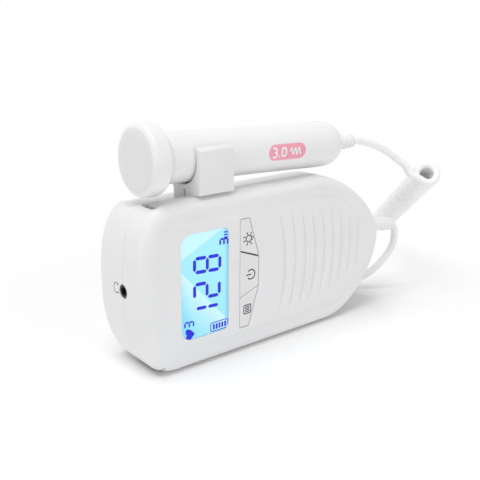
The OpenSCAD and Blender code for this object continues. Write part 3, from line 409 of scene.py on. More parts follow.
def ring(end_inset, side_inset, y, sink=0.0):
    """Outline at a depth, sunk by a valley that fades out as 3 t^2 - 2 t^3 towards both ends."""
    flat = outline(end_inset, side_inset)
    fade = np.clip((LENGTH / 2 - np.abs(flat[:, 0]) - VALLEY_FROM) / VALLEY_FADE, 0.0, 1.0)
    fade = fade * fade * (3 - 2 * fade)
    return np.column_stack([flat[:, 0], y + sink * fade, flat[:, 1]])


print("points on the outline:", len(outline(0.0, 0.0)))

# %% [markdown]
# The front shell's edge is a quarter of an ellipse: 4 mm wide on the long sides, 6.5 mm at the ends.
# From there the face dips by under a millimetre towards the panel and rises again at its border.

# %% The front shell's skin, from the inner wall round the edge to the panel
EDGE, EDGE_END, EDGE_DEPTH = 4.0, 6.5, 6.0
VALLEY, PANEL, SLOPE = 0.7, 10.0, 2.4
rings = [ring(4.5, 8.0, FRONT + 2), ring(WALL, SIDE_WALL, FRONT + 4.5), ring(WALL, SIDE_WALL, PARTING),
         ring(SEAM_INSET, SEAM_INSET, PARTING), ring(0.0, 0.0, PARTING - SEAM_CHAMFER)]
for a in np.linspace(0.0, math.pi / 2, 16):
    turn = 1 - math.cos(a)
    rings.append(ring(EDGE_END * turn, EDGE * turn, FRONT + EDGE_DEPTH * (1 - math.sin(a))))
for t in np.linspace(0.0, 1.0, 9)[1:]:
    end_inset, side_inset = EDGE_END + (PANEL - SLOPE - EDGE_END) * t, EDGE + (PANEL - SLOPE - EDGE) * t
    rings.append(ring(end_inset, side_inset, FRONT, VALLEY * (1 - math.cos(math.pi * t / 2))))
for t in np.linspace(0.0, 1.0, 7)[1:]:
    inset = PANEL - SLOPE * (1 - t)
    rings.append(ring(inset, inset, FRONT, VALLEY * (1 + math.cos(math.pi * t)) / 2))
front = loft("front_case", rings[::-1])
print("front skin faces:", len(front.data.polygons))

# %% [markdown]
# The window, the strip of keys, the grooves and the channels are gaps that a mould leaves in one skin.
# They could be modelled into the skin, but a cutter for each, taken away with an exact boolean, keeps
# every edge crisp and every outline plain to read. The corners of an outline turn over their own radii.


# %% Outlines with rounded corners
def rounded(corners, radii, steps=10):
    """Outline of a polygon with each corner turned over its own radius."""
    corners = np.asarray(corners, float)
    runs = []
    for k, (corner, radius) in enumerate(zip(corners, radii)):
        back, on = unit(corners[k - 1] - corner), unit(corners[(k + 1) % len(corners)] - corner)
        half = math.acos(float(np.clip(back @ on, -1, 1))) / 2
        reach = radius / math.tan(half)
        first, last = corner + back * reach, corner + on * reach
        centre = corner + unit(back + on) * radius / math.sin(half)
        a = np.linspace(0.0, 1.0, steps + 1)[:, None]
        spoke = unit((first - centre) * (1 - a) + (last - centre) * a)
        runs.append(centre + radius * spoke)
    return np.vstack(runs)


def corners_of(x0, x1, z0, z1, grow=0.0):
    """The four corners of a rectangle, moved out by a margin."""
    return [(x0 - grow, z0 - grow), (x1 + grow, z0 - grow), (x1 + grow, z1 + grow), (x0 - grow, z1 + grow)]


# %% Window and key strip, flat
WINDOW = (-49.7, -26.4, MID - 21.95, MID + 21.95)
STRIP_X, STRIP_END, STRIP_MIDDLE, STRIP_HALF, STRIP_FLAT = -20.6, 5.1, 10.4, 23.8, 6.5


def window_outline(grow=0.0):
    """The window: a tall rectangle, rounder on the outer side than beside the keys."""
    return rounded(corners_of(*WINDOW, grow), [5.0 + grow, 3.0 + grow, 3.0 + grow, 5.0 + grow])


def strip_outline(radius):
    """The key strip: straight beside the window, bulging towards the grooves, the same up and down."""
    run = [(0.0, STRIP_HALF), (STRIP_END, STRIP_HALF), (STRIP_MIDDLE, STRIP_FLAT)]
    lower, upper = ([(STRIP_X + x, MID + way * z) for x, z in run] for way in (-1, 1))
    return rounded(lower + upper[::-1], [radius] * 6, 6)


print("window in mm:", [round(v, 2) for v in WINDOW])

# %% [markdown]
# Nine grooves give the fingers a hold. Each is a shallow blade: steep on the display side, long and
# shallow on the other, and it tapers out at both ends. A bump texture could fake them, but their shade
# has to follow the light, so they are cut. A blade is as long as the shell is high there, less a rim.

# %% Grooves
GROOVES, GROOVE_START, GROOVE_PITCH, GROOVE_CLOSING = 9, 4.4, 6.25, 0.065
GROOVE_ARC, GROOVE_MARGIN, GROOVE_STEPS = 72.5, 13.4, 61
BLADE = np.array([
    (-0.35, -1.0), (-0.35, 0.0), (-0.2, 0.95), (0.1, 1.1), (0.45, 0.75), (1.3, 0.3), (2.4, 0.0), (2.4, -1.0)])


def crown(x):
    """Height of the top of the outline at x."""
    cx, cz, reach, rise, n, _ = CORNERS[1]
    t = np.clip((x - cx) / reach, 0.0, 1.0)
    return cz + rise * (1 - t**n) ** (1 / n)


def groove(number):
    """The blade's section carried along an arc: r = arc + across * (0.4 + 0.6 share), y = deep * share."""
    x = GROOVE_START + GROOVE_PITCH * number - GROOVE_CLOSING * number**2
    swing = math.asin((crown(x) - GROOVE_MARGIN - MID) / GROOVE_ARC)
    a = np.linspace(-swing, swing, GROOVE_STEPS)[:, None]
    share = np.sin(np.linspace(0.0, math.pi, GROOVE_STEPS)) ** 0.35
    share = np.maximum(share, 0.02)[:, None]
    across, deep = BLADE[None, :, 0], BLADE[None, :, 1]
    r = GROOVE_ARC + across * (0.4 + 0.6 * share)
    y = np.where(deep > 0, deep * share, deep) + FRONT
    rings = np.stack([x - GROOVE_ARC + r * np.cos(a), y, MID + r * np.sin(a)], -1)
    return loft(f"groove_{number}", rings)


# %% [markdown]
# Behind a lip at the front, the top falls away in one soft slope that is open to the back. It is the
# channel in which the holder's foot stands. The foot of the unit has a shallow channel of its own. Near
# the display end the top has a small dent, a facet with a gap in its middle, and the foot has a notch.


# %% Cutters along Y and X
def prism(name, flat, low, high):
    """Solid from an outline in X and Z, swept between two depths along Y."""
    flat = np.asarray(flat, float)
    return loft(name, [np.column_stack([flat[:, 0], np.full(len(flat), y), flat[:, 1]]) for y in (high, low)])


def rod(name, x, z, radius, low, high, sides=40):
    """Round cutter along Y."""
    return turned(name, [(0.0, radius), (high - low, radius)], (x, low, z), (0.0, 1.0, 0.0), sides)


def axle(name, radius, low, high, z):
    """Round cutter along X on the parting line."""
    return turned(name, [(0.0, radius), (high - low, radius)], (low, PARTING, z), (1.0, 0.0, 0.0), 48)


# %% Channels, dent, notch and bores
SLOPE_YZ = [
    (-8.6, 69.6), (-6.4, 69.3), (-4.0, 68.6), (-1.6, 67.6), (0.8, 66.7), (3.2, 66.15), (5.6, 66.0),
    (11.5, 66.0), (13.4, 65.8), (14.8, 65.2), (15.8, 64.3), (17.0, 62.0), (17.0, 71.0), (-8.6, 71.0)]
FOOT_XZ = [(-60.5, -0.5), (-56.0, 3.5), (40.0, 3.5), (40.0, -0.5)]
DENT_XZ = [(-59.2, 70.4), (-58.0, 67.7), (-56.4, 67.5), (-51.6, 70.4)]
GAP_XZ = [(-58.8, 70.4), (-58.6, 63.0), (-56.4, 63.0), (-55.6, 70.4)]
NOTCH_XZ = [(-59.4, -0.5), (-58.2, 3.8), (-57.2, 3.9), (-55.8, -0.5)]
SOCKET_R, SLEEVE_R = 2.85, 3.35


def channels(tag):
    """Cutters for the slope along the top, open to the back, and for the channel along the foot."""
    return [loft(f"slope_{tag}", [[(x, y, z) for y, z in SLOPE_YZ] for x in (-69.0, 69.0)], 30.0),
            prism(f"channel_foot_{tag}", FOOT_XZ, -10.5, 4.0)]


def dents(tag):
    """Cutters for the small dent in the top, beside the display end: a facet and the gap in its middle."""
    return [prism(f"dent_{tag}", DENT_XZ, -11.6, -2.2), prism(f"gap_{tag}", GAP_XZ, -10.9, -3.4)]


def bores(tag):
    """Cutters at both ends: for the headphone socket and for the sleeve of the unit's lead."""
    return [axle(f"socket_{tag}", SOCKET_R, -69.0, -64.0, MID),
            axle(f"sleeve_{tag}", SLEEVE_R, 58.0, 69.0, UNIT_ROOT[2])]


# %% Booleans
def finished(made):
    """The piece with its modifiers worked into its mesh."""
    bpy.context.view_layer.update()
    mesh = bpy.data.meshes.new_from_object(made.evaluated_get(bpy.context.evaluated_depsgraph_get()))
    made.modifiers.clear()
    made.data = mesh


def cut_away(made, tools):
    """Take each tool's solid out of the piece with an exact boolean, then drop the tools."""
    for tool in tools:
        cut = made.modifiers.new(tool.name, "BOOLEAN")
        cut.operation = "DIFFERENCE"
        cut.solver = "EXACT"
        cut.object = tool
    finished(made)
    for tool in tools:
        bpy.data.objects.remove(tool)
    made.data.shade_smooth()
    made.data.set_sharp_from_angle(angle=math.radians(35.0))


# %% Cut the front shell
cut_away(front, [
    prism("window_cut", window_outline(), FRONT - 1, FRONT + 3),
    prism("strip_cut", strip_outline(0.4), FRONT - 1, FRONT + 3),
    *[groove(k) for k in range(GROOVES)], *channels("front"), *dents("front"),
    prism("notch_foot", NOTCH_XZ, -17.0, -10.0), *bores("front")])
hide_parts("front_shell")
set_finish(front, "shell")
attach(front, "hand_unit")
print("front shell faces:", len(front.data.polygons))

# %% [markdown]
# The rear shell turns over a depth of 9 mm, as such housings do to fit the palm. It carries on the
# slope of the top, and it has four sunk screws, the battery opening and the holes of the speaker. The
# same function of rings makes it, so the two shells meet on one line.

# %% The rear shell's skin
REAR_EDGE, REAR_END, REAR_DEPTH = 6.0, 1.0, 9.0
edge_y = BACK - REAR_DEPTH
turns = np.linspace(0.0, math.pi / 2, 20)
rings = []
for a in turns[::-1]:
    turn = 1 - math.cos(a)
    rings.append(ring(WALL + REAR_END * turn, max(WALL + REAR_EDGE * turn, SIDE_WALL),
                      edge_y + (REAR_DEPTH - WALL) * math.sin(a)))
rings += [ring(WALL, SIDE_WALL, PARTING), ring(SEAM_INSET, SEAM_INSET, PARTING),
          ring(0.0, 0.0, PARTING + SEAM_CHAMFER)]
for a in turns:
    turn = 1 - math.cos(a)
    rings.append(ring(REAR_END * turn, REAR_EDGE * turn, edge_y + REAR_DEPTH * math.sin(a)))
rear = loft("rear_case", rings)
print("rear skin faces:", len(rear.data.polygons))

# %% Cut the rear shell
SCREWS = [(-54.0, MID - 24.6), (-54.0, MID + 24.6), (44.0, MID - 19.5), (44.0, MID + 19.5)]
COVER = (-51.1, 6.1, MID - 16.6, MID + 16.6)
BAY = (-49.5, 4.5, MID - 15, MID + 15)
SPEAKER, HOLE_PITCH = (26.0, MID), 4.2
rear_tools = [
    prism("cover_cut", rounded(corners_of(*COVER), [0.6] * 4, 4), 14.8, 18.0),
    prism("bay_cut", rounded(corners_of(*BAY), [0.6] * 4, 4), 10.0, 14.9), *channels("rear"), *bores("rear")]
for k, (x, z) in enumerate(SCREWS):
    rear_tools.append(rod(f"screw_cut_{k}", x, z, 2.45, 10.0, 18.0))
holes = [SPEAKER]
for r in (1, 2):
    for k in range(6 * r):
        a = k * math.pi / 3 / r
        holes.append((SPEAKER[0] + r * HOLE_PITCH * math.cos(a), SPEAKER[1] + r * HOLE_PITCH * math.sin(a)))
for k, (x, z) in enumerate(holes):
    rear_tools.append(rod(f"sound_cut_{k}", x, z, 0.9, 13.0, 18.0, 20))
cut_away(rear, rear_tools + dents("rear"))
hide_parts("rear_shell")
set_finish(rear, "shell")
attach(rear, "hand_unit")
print("rear shell faces:", len(rear.data.polygons))

# %% [markdown]
# ## Probe holder
#
# The holder is one moulded block. Seen from the end it has a flat front, a round back, a bore that
# the handle drops into from above, and a foot that sits in the channel, with a narrow slot in its
# base. Boxes and a cylinder could make it, but one outline swept along X is the form itself. A Bevel
# modifier then breaks its edges, as a mould's own rounding does.

# %% Holder
CLIP = (-39.2, -22.2)
CLIP_AXIS = (-1.8, 83.67)
BORE, ARM, ARM_TOP, SOFT_EDGE = 10.5, 1.9, 5.4, 0.35
BASE_FRONT, BASE_BACK, BASE_LOW = -10.2, 3.7, 66.0
SLOT_FRONT, SLOT_BACK, SLOT_TOP = -4.4, -3.5, 71.5


def holder_outline():
    """Section across the unit: round back, slotted foot, flat front, and a bore that opens upwards."""
    y, z = CLIP_AXIS
    outer, top = BORE + ARM, z + ARM_TOP
    a = np.radians(np.linspace(0.0, -100.0, 26))
    back = np.column_stack([y + outer * np.cos(a), z + outer * np.sin(a)])
    back = back[(back[:, 1] > 71.4) & (back[:, 0] > 3.8)]
    a = np.radians(np.linspace(180.0, 360.0, 48))
    inner = np.column_stack([y + BORE * np.cos(a), z + BORE * np.sin(a)])
    slot = [(SLOT_BACK, BASE_LOW), (SLOT_BACK, SLOT_TOP), (SLOT_FRONT, SLOT_TOP), (SLOT_FRONT, BASE_LOW)]
    return np.vstack([
        [(y + BORE, top), (y + outer - 0.9, top - 0.55), (y + outer, top - 1.5)], back,
        [(BASE_BACK, 71.0), (BASE_BACK, BASE_LOW)], slot, [(BASE_FRONT, BASE_LOW), (BASE_FRONT, 70.3)],
        [(y - outer, 70.3), (y - outer, top - 1.5), (y - outer + 0.9, top - 0.55), (y - BORE, top)], inner])


section = holder_outline()
holder = loft("probe_holder", [np.column_stack([np.full(len(section), x), section]) for x in CLIP], 30.0)
soft = holder.modifiers.new("soft edges", "BEVEL")
soft.width, soft.segments = SOFT_EDGE * MM, 3
soft.limit_method, soft.angle_limit = "ANGLE", math.radians(40)
finished(holder)
holder.data.shade_smooth()
holder.data.set_sharp_from_angle(angle=math.radians(50))
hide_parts("probe_clip")
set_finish(holder, "holder")
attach(holder, "hand_unit")
print("holder faces:", len(holder.data.polygons))

# %% [markdown]
# ## Display
#
# The window is a clear cover over a lit display, so one closed plate carries the glow, and the marks
# lie on it as thin ink. They are turned a quarter, because the unit is read with its long side up. A
# seven-segment digit is a list of strokes, so numbers need no font.


# %% Strokes: a line with a width and a thickness
def stroke(name, line, width, low, high, closed=False, place=None):
    """Four edges at line + side * width / 2 and two depths. Place maps (across, up, depth) to the frame."""
    flat = np.asarray(line, float)
    if closed:
        ahead = unit(np.roll(flat, -1, 0) - np.roll(flat, 1, 0))
    else:
        ahead = unit(np.gradient(flat, axis=0))
    side = np.column_stack([-ahead[:, 1], ahead[:, 0]]) * width / 2
    left, right = flat + side, flat - side
    ring_of = [(left, low), (right, low), (right, high), (left, high)]
    stack = np.stack([np.column_stack([edge, np.full(len(flat), depth)]) for edge, depth in ring_of], 1)
    stack = place(stack) if place else stack[..., [0, 2, 1]]
    rows = len(flat)
    if not closed:
        return loft(name, stack[::-1], 30.0)
    faces = grid_faces(rows + 1, 4)
    faces = [[i % (rows * 4) for i in f][::-1] for f in faces]
    return piece(name, stack.reshape(-1, 3), faces, 30.0)


# %% Bars, digits and rounded loops
SEGMENTS = {
    "a": ((0.12, 1.0), (0.88, 1.0)), "b": ((1.0, 0.94), (1.0, 0.56)), "c": ((1.0, 0.44), (1.0, 0.06)),
    "d": ((0.12, 0.0), (0.88, 0.0)), "e": ((0.0, 0.44), (0.0, 0.06)), "f": ((0.0, 0.94), (0.0, 0.56)),
    "g": ((0.12, 0.5), (0.88, 0.5))}
DIGITS = {"1": "bc", "2": "abged", "3": "abgcd", "8": "abcdefg"}
LEAN = 0.07
WINDOW_FACE, INK = -15.7, 0.05
ink_depths = (WINDOW_FACE - INK, WINDOW_FACE + INK)


def segment(start, end, pen):
    """Six-sided bar with pointed ends: the corners stand half a pen's width in from both ends."""
    start, end = np.asarray(start, float), np.asarray(end, float)
    ahead = unit(end - start) * pen / 2
    aside = np.array([-ahead[1], ahead[0]])
    start, end = start - 0.5 * ahead, end + 0.5 * ahead
    over, under = [start + ahead + aside, end - ahead + aside], [end - ahead - aside, start + ahead - aside]
    return prism("segment", [start, *over, end, *under], *ink_depths)


def digit(number, foot, width, height, pen):
    """Seven-segment digit that reads up the unit: its top points to the display end and leans to +Z."""
    made = []
    for name in DIGITS[number]:
        line = [(foot[0] - v * height, foot[1] + u * width + LEAN * v * height) for u, v in SEGMENTS[name]]
        made.append(segment(*line, pen))
    return made


def loop(cx, cz, reach, rise, n=2.0, count=40, first=0.0, sweep=360.0):
    """Superellipse line: x = cx + reach * |cos|^(2/n), z = cz + rise * |sin|^(2/n), with signs kept."""
    a = np.radians(first + sweep * np.arange(count + (sweep < 360)) / count)
    c, s = np.cos(a), np.sin(a)
    x = cx + reach * np.sign(c) * np.abs(c) ** (2 / n)
    z = cz + rise * np.sign(s) * np.abs(s) ** (2 / n)
    return np.column_stack([x, z])


def joined(name, parts, smooth=35.0):
    """One mesh object from several, with all places kept."""
    points, faces, first = [], [], 0
    for part in parts:
        points += [tuple(v.co) for v in part.data.vertices]
        faces += [[first + i for i in p.vertices] for p in part.data.polygons]
        first = len(points)
        bpy.data.objects.remove(part)
    return piece(name, np.array(points) / MM, faces, smooth)


# %% Window
window = prism("display_window", window_outline(-0.12), WINDOW_FACE, -13.3)
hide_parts("lcd_window")
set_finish(window, "window")
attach(window, "hand_unit")
print("window faces:", len(window.data.polygons))

# %% Ink on the window
# Digit, foot, width, height and pen: the large reading, then the two small figures
READING = [
    ("8", (-30.7, 39.8), 5.7, 12.4, 1.45), ("2", (-31.0, 28.9), 5.9, 12.2, 1.45),
    ("1", (-31.2, 18.8), 5.8, 11.6, 1.4), ("3", (-26.7, 49.2), 2.6, 3.8, 0.85),
    ("3", (-43.9, 18.1), 2.3, 4.2, 0.7)]
ink = [bar for row in READING for bar in digit(*row)]
# A heart is sin^3 across, and 13 cos - 5 cos 2a - 2 cos 3a up
a = np.radians(np.arange(0, 360, 9))
heart_up = (13 * np.cos(a) - 5 * np.cos(2 * a) - 2 * np.cos(3 * a)) / 16
heart = np.column_stack([-heart_up, np.sin(a) ** 3]) * 2.65 + [-46.0, 15.1]
ink.append(prism("heart", heart[::-1], *ink_depths))
ink.append(stroke("battery_case", loop(-31.0, 15.3, 4.4, 1.9, 7.0), 0.38, *ink_depths, True))
for k in range(5):
    x = -33.8 + 1.45 * k
    ink.append(stroke("battery_bar", [(x, 14.15), (x, 16.45)], 0.95, *ink_depths))
for k in range(3):
    z = 52.4 + 1.1 * k
    ink.append(stroke("unit_tick", [(-28.6, z), (-26.9, z)], 0.55, *ink_depths))
display_ink = joined("display_ink", ink, 30.0)
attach(display_ink, "hand_unit")
print("strokes on the display:", len(ink))

# %% [markdown]
# ## Keys
#
# The keys themselves are right in the CAD model and stay. Their marks are printed: a lamp, a power sign
# and a lined square, each on the body of its own key, so it moves when the key is pressed. An image
# could carry them, but thin strokes need no file and stay sharp. One more dark stroke lies on the power
# key along its edge with the lamp key: painted shade of the gap between the two keys.

# %% Marks on the keys, and a line of painted shade
KEY_FACE, PRINT = -15.9, 0.03
key_face_depths = (KEY_FACE - PRINT, KEY_FACE + PRINT)
LAMP_X, LAMP_Z, RAYS = -15.9, 49.6, (60, 110, 160, 200, 250, 300)


def printed(line, pen, closed=False):
    """A printed stroke on the face of a key."""
    return stroke("print", line, pen, *key_face_depths, closed)


lamp = [printed(loop(LAMP_X, LAMP_Z, 1.4, 1.4), 0.45, True)]
for angle in RAYS:
    c, s = math.cos(math.radians(angle)), math.sin(math.radians(angle))
    lamp.append(printed([(LAMP_X + r * c, LAMP_Z + r * s) for r in (1.9, 3.0)], 0.5))
lamp.append(printed([(-14.6, 48.9), (-13.9, 48.9), (-13.5, 49.6), (-13.9, 50.3), (-14.6, 50.3)], 0.36))
lamp_mark = joined("lamp_mark", lamp)
power = [printed(loop(-14.5, 33.8, 2.05, 2.05, first=-142.0, sweep=284.0), 0.54),
         printed([(-17.1, 33.8), (-14.4, 33.8)], 0.54)]
power_mark = joined("power_mark", power)
square = [printed(loop(-16.3, 18.7, 1.85, 1.9, 14.0), 0.45, True)]
square += [printed([(-17.5, z), (-15.1, z)], 0.42) for z in (17.6, 18.33, 19.07, 19.8)]
square_mark = joined("square_mark", square)
# Painted shade: a dark stroke on the power key where the gap to the lamp key falls in shadow, in the grey of
# the print
gap_shade_stroke = stroke("painted_gap_shade", [(-20.1, 44.75), (-10.75, 41.1)], 0.5, *key_face_depths)
key_of = {lamp_mark: "key_light", power_mark: "key_power", square_mark: "key_mode", gap_shade_stroke: "key_power"}
for mark, body in key_of.items():
    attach(mark, body)
print("marks:", [mark.name for mark in key_of])

# %% [markdown]
# ## Label on the probe
#
# The label is a thin patch that wraps the handle. Its outline is a pill in flat measures, distance
# along the handle and height round it, and one mapping lays flat measures on the round handle. A
# Shrinkwrap modifier could lay it on too, but the mapping is exact and serves its strokes as well.

# %% Label
LABEL_S, LABEL_L, LABEL_H, LABEL_R = 68.5, 20.5, 6.7, 10.12


def on_handle(stack):
    """(distance, height, radius) to the frame: height / radius is the angle round the handle's front."""
    angle = stack[..., 1] / LABEL_R
    up = np.cross(PROBE_AHEAD, [0.0, 1.0, 0.0])
    up = up if up[2] > 0 else -up
    out = np.array([0.0, -1.0, 0.0])
    return (PROBE_FACE + stack[..., :1] * PROBE_AHEAD
            + stack[..., 2:] * (np.cos(angle)[..., None] * out + np.sin(angle)[..., None] * up))


s = np.cos(np.linspace(math.pi, 0.0, 41)) * LABEL_L / 2
flat_end = LABEL_L / 2 - LABEL_H / 2
over_end = np.clip(np.abs(s) - flat_end, 0.0, None)
half = np.sqrt(np.clip((LABEL_H / 2) ** 2 - over_end**2, 0.0004, None))
v = np.linspace(-1.0, 1.0, 13)
outer = np.stack(np.broadcast_arrays(LABEL_S + s[:, None], half[:, None] * v, LABEL_R + 0.1), -1)
inner = np.stack(np.broadcast_arrays(LABEL_S + s[:, None], half[:, None] * v[::-1], LABEL_R - 0.2), -1)
label = loft("probe_label_skin", on_handle(np.concatenate([outer, inner], 1)), 30.0)
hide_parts("probe_label")
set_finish(label, "label")
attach(label, "probe")


def marked(line, pen, closed=False):
    """A white stroke on the label."""
    return stroke("mark", line, pen, LABEL_R, LABEL_R + 0.16, closed, on_handle)


three = np.vstack([loop(LABEL_S - 7.3, 0.95, 1.05, 0.95, first=150.0, sweep=-240.0, count=16),
                   loop(LABEL_S - 7.3, -1.0, 1.15, 1.05, first=90.0, sweep=-240.0, count=16)])
figures = [marked(three, 0.72), marked(loop(LABEL_S - 4.7, -1.75, 0.2, 0.2, count=12), 0.4, True),
           marked(loop(LABEL_S - 2.2, 0.0, 1.25, 1.75, 2.4), 0.72, True)]
x = np.linspace(0.0, 6.2, 50)
figures.append(marked(np.column_stack([LABEL_S + 1.4 + x, 1.35 * np.sin(x * 2.9)]), 0.6))
label_mark = joined("label_mark", figures, 30.0)
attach(label_mark, "probe")
print("label faces:", len(label.data.polygons))

# %% [markdown]
# ## Headphone socket
#
# The socket's black nose is in the CAD model. A small printed arch beside it says what it is for.

# %% Mark beside the socket
ARCH_DEPTHS = (-67.53, -67.4)


def on_end(stack):
    """(across, up, depth) on the display end: across runs backwards along Y."""
    return np.stack([stack[..., 2], stack[..., 0], stack[..., 1]], -1)


arch = [stroke("arch", loop(2.7, 34.9, 1.8, 2.1, first=232.0, sweep=256.0), 0.32, *ARCH_DEPTHS, place=on_end)]
for z in (33.2, 36.6):
    arch.append(stroke("pad", [(1.0, z), (1.7, z)], 0.6, *ARCH_DEPTHS, place=on_end))
socket_mark = joined("socket_mark", arch)
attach(socket_mark, "hand_unit")
print("strokes beside the socket:", len(arch))

# %% [markdown]
# ## Finishes
#
# Moulded white plastic is never one flat colour: it has a fine spark-eroded grain and drifts a little in
# tone and gloss. A picture could hold both, but it would need a seam. Noise in object space has none
# and stays with its piece, and a bevel in the shader rounds the tiny edges.


# %% Material helpers
def nodes_of(name):
    """A new node material, with its tree and its surface shader."""
    made = bpy.data.materials.new(name)
    made.use_nodes = True
    tree = made.node_tree
    surface = tree.nodes["Principled BSDF"]
    return made, tree, surface


def maths(tree, operation, *values):
    """Math node: a number is set on its socket, and an output is linked to it."""
    node = tree.nodes.new("ShaderNodeMath")
    node.operation = operation
    for socket, value in zip(node.inputs, values):
        if isinstance(value, float):
            socket.default_value = value
        else:
            tree.links.new(value, socket)
    return node.outputs[0]


DRIFT_SCALE, GRAIN_HEIGHT = 60.0, 0.00002


def grained(name, colour, drift, rough, rough_drift, grain, depth, edge, **sockets):
    """Surface with a slow drift in tone and gloss and a fine grain: noise on object coordinates."""
    made, tree, surface = nodes_of(name)
    place = tree.nodes.new("ShaderNodeTexCoord")
    slow = tree.nodes.new("ShaderNodeTexNoise")
    slow.inputs["Scale"].default_value = DRIFT_SCALE
    slow.inputs["Detail"].default_value = 3.0
    fine = tree.nodes.new("ShaderNodeTexNoise")
    fine.inputs["Scale"].default_value = grain
    fine.inputs["Detail"].default_value = 2.0
    ramp = tree.nodes.new("ShaderNodeValToRGB")
    ramp.color_ramp.elements[0].position, ramp.color_ramp.elements[1].position = 0.3, 0.7
    ramp.color_ramp.elements[0].color = [max(0.0, c * (1 - drift)) for c in colour] + [1.0]
    ramp.color_ramp.elements[1].color = [min(1.0, c * (1 + drift * 0.5)) for c in colour] + [1.0]
    gloss = tree.nodes.new("ShaderNodeMapRange")
    gloss.inputs["To Min"].default_value = rough - rough_drift
    gloss.inputs["To Max"].default_value = rough + rough_drift
    bump = tree.nodes.new("ShaderNodeBump")
    bump.inputs["Strength"].default_value = depth * 10
    bump.inputs["Distance"].default_value = GRAIN_HEIGHT
    link = tree.links.new
    link(place.outputs["Object"], slow.inputs["Vector"])
    link(place.outputs["Object"], fine.inputs["Vector"])
    link(slow.outputs["Fac"], ramp.inputs["Fac"])
    link(slow.outputs["Fac"], gloss.inputs["Value"])
    link(ramp.outputs["Color"], surface.inputs["Base Color"])
    link(gloss.outputs["Result"], surface.inputs["Roughness"])
    link(fine.outputs["Fac"], bump.inputs["Height"])
    link(bump.outputs["Normal"], surface.inputs["Normal"])
    if edge:
        soft = tree.nodes.new("ShaderNodeBevel")
        soft.samples = 4
        soft.inputs["Radius"].default_value = edge * MM
        link(soft.outputs["Normal"], bump.inputs["Normal"])
    for socket, value in sockets.items():
        surface.inputs[socket.replace("_", " ")].default_value = value
    return made


# %% [markdown]
# The lit display is cyan, with a deeper blue beside the keys and in its low outer corner. Over it lie two
# pale patches with straight edges: painted reflections of the studio light on the cover. A picture could
# hold that, but a few slanting ramps laid over one another say it in numbers, and stay sharp at any size.


# %% The lit display
def lit_display():
    """Each layer is a colour laid over those below by a share that ramps along a slanting distance."""
    made, tree, surface = nodes_of("display_glow")
    link = tree.links.new
    place = tree.nodes.new("ShaderNodeTexCoord")
    apart = tree.nodes.new("ShaderNodeSeparateXYZ")
    link(place.outputs["Object"], apart.inputs["Vector"])

    def slant(dx, dz, low, high):
        """Share from 0 to 1 of the slanting distance dx * x + dz * z, between two places in mm."""
        far = maths(tree, "MULTIPLY", apart.outputs["X"], dx)
        far = maths(tree, "MULTIPLY_ADD", apart.outputs["Z"], dz, far)
        share = tree.nodes.new("ShaderNodeMapRange")
        share.inputs["From Min"].default_value = low * MM
        share.inputs["From Max"].default_value = high * MM
        link(far, share.inputs["Value"])
        return share.outputs["Result"]

    def over(below, share, colour, amount):
        """Lay a colour over another by a share."""
        mix = tree.nodes.new("ShaderNodeMix")
        mix.data_type = "RGBA"
        link(maths(tree, "MULTIPLY", share, amount), mix.inputs["Factor"])
        link(below, mix.inputs[6])
        mix.inputs[7].default_value = colour
        return mix.outputs[2]

    ramp = tree.nodes.new("ShaderNodeValToRGB")
    ramp.color_ramp.elements[0].color = (0.30, 0.70, 0.88, 1.0)
    ramp.color_ramp.elements[1].color = (0.34, 0.76, 0.88, 1.0)
    link(slant(0.35, 1.0, 2.0, 30.0), ramp.inputs["Fac"])
    # Painted reflections: a pale wedge and a pale band with straight edges, glare of the studio light on the
    # cover, laid into the colour and glowing with it
    facet = maths(tree, "MULTIPLY", slant(-0.745, -0.667, 8.6, 8.9), slant(-0.745, -0.667, 20.0, 1.0))
    colour = over(ramp.outputs["Color"], facet, (0.84, 0.94, 0.98, 1.0), 0.75)
    colour = over(colour, slant(-0.42, 0.907, 63.2, 63.5), (0.80, 0.95, 0.98, 1.0), 0.4)
    colour = over(colour, slant(1.0, 0.0, -28.4, -26.4), (0.05, 0.42, 0.85, 1.0), 0.55)
    colour = over(colour, slant(-1.0, -0.25, 38.0, 44.0), (0.1, 0.5, 0.85, 1.0), 0.35)
    link(colour, surface.inputs["Base Color"])
    link(colour, surface.inputs["Emission Color"])
    surface.inputs["Emission Strength"].default_value = 0.25
    surface.inputs["Roughness"].default_value = 0.12
    return made


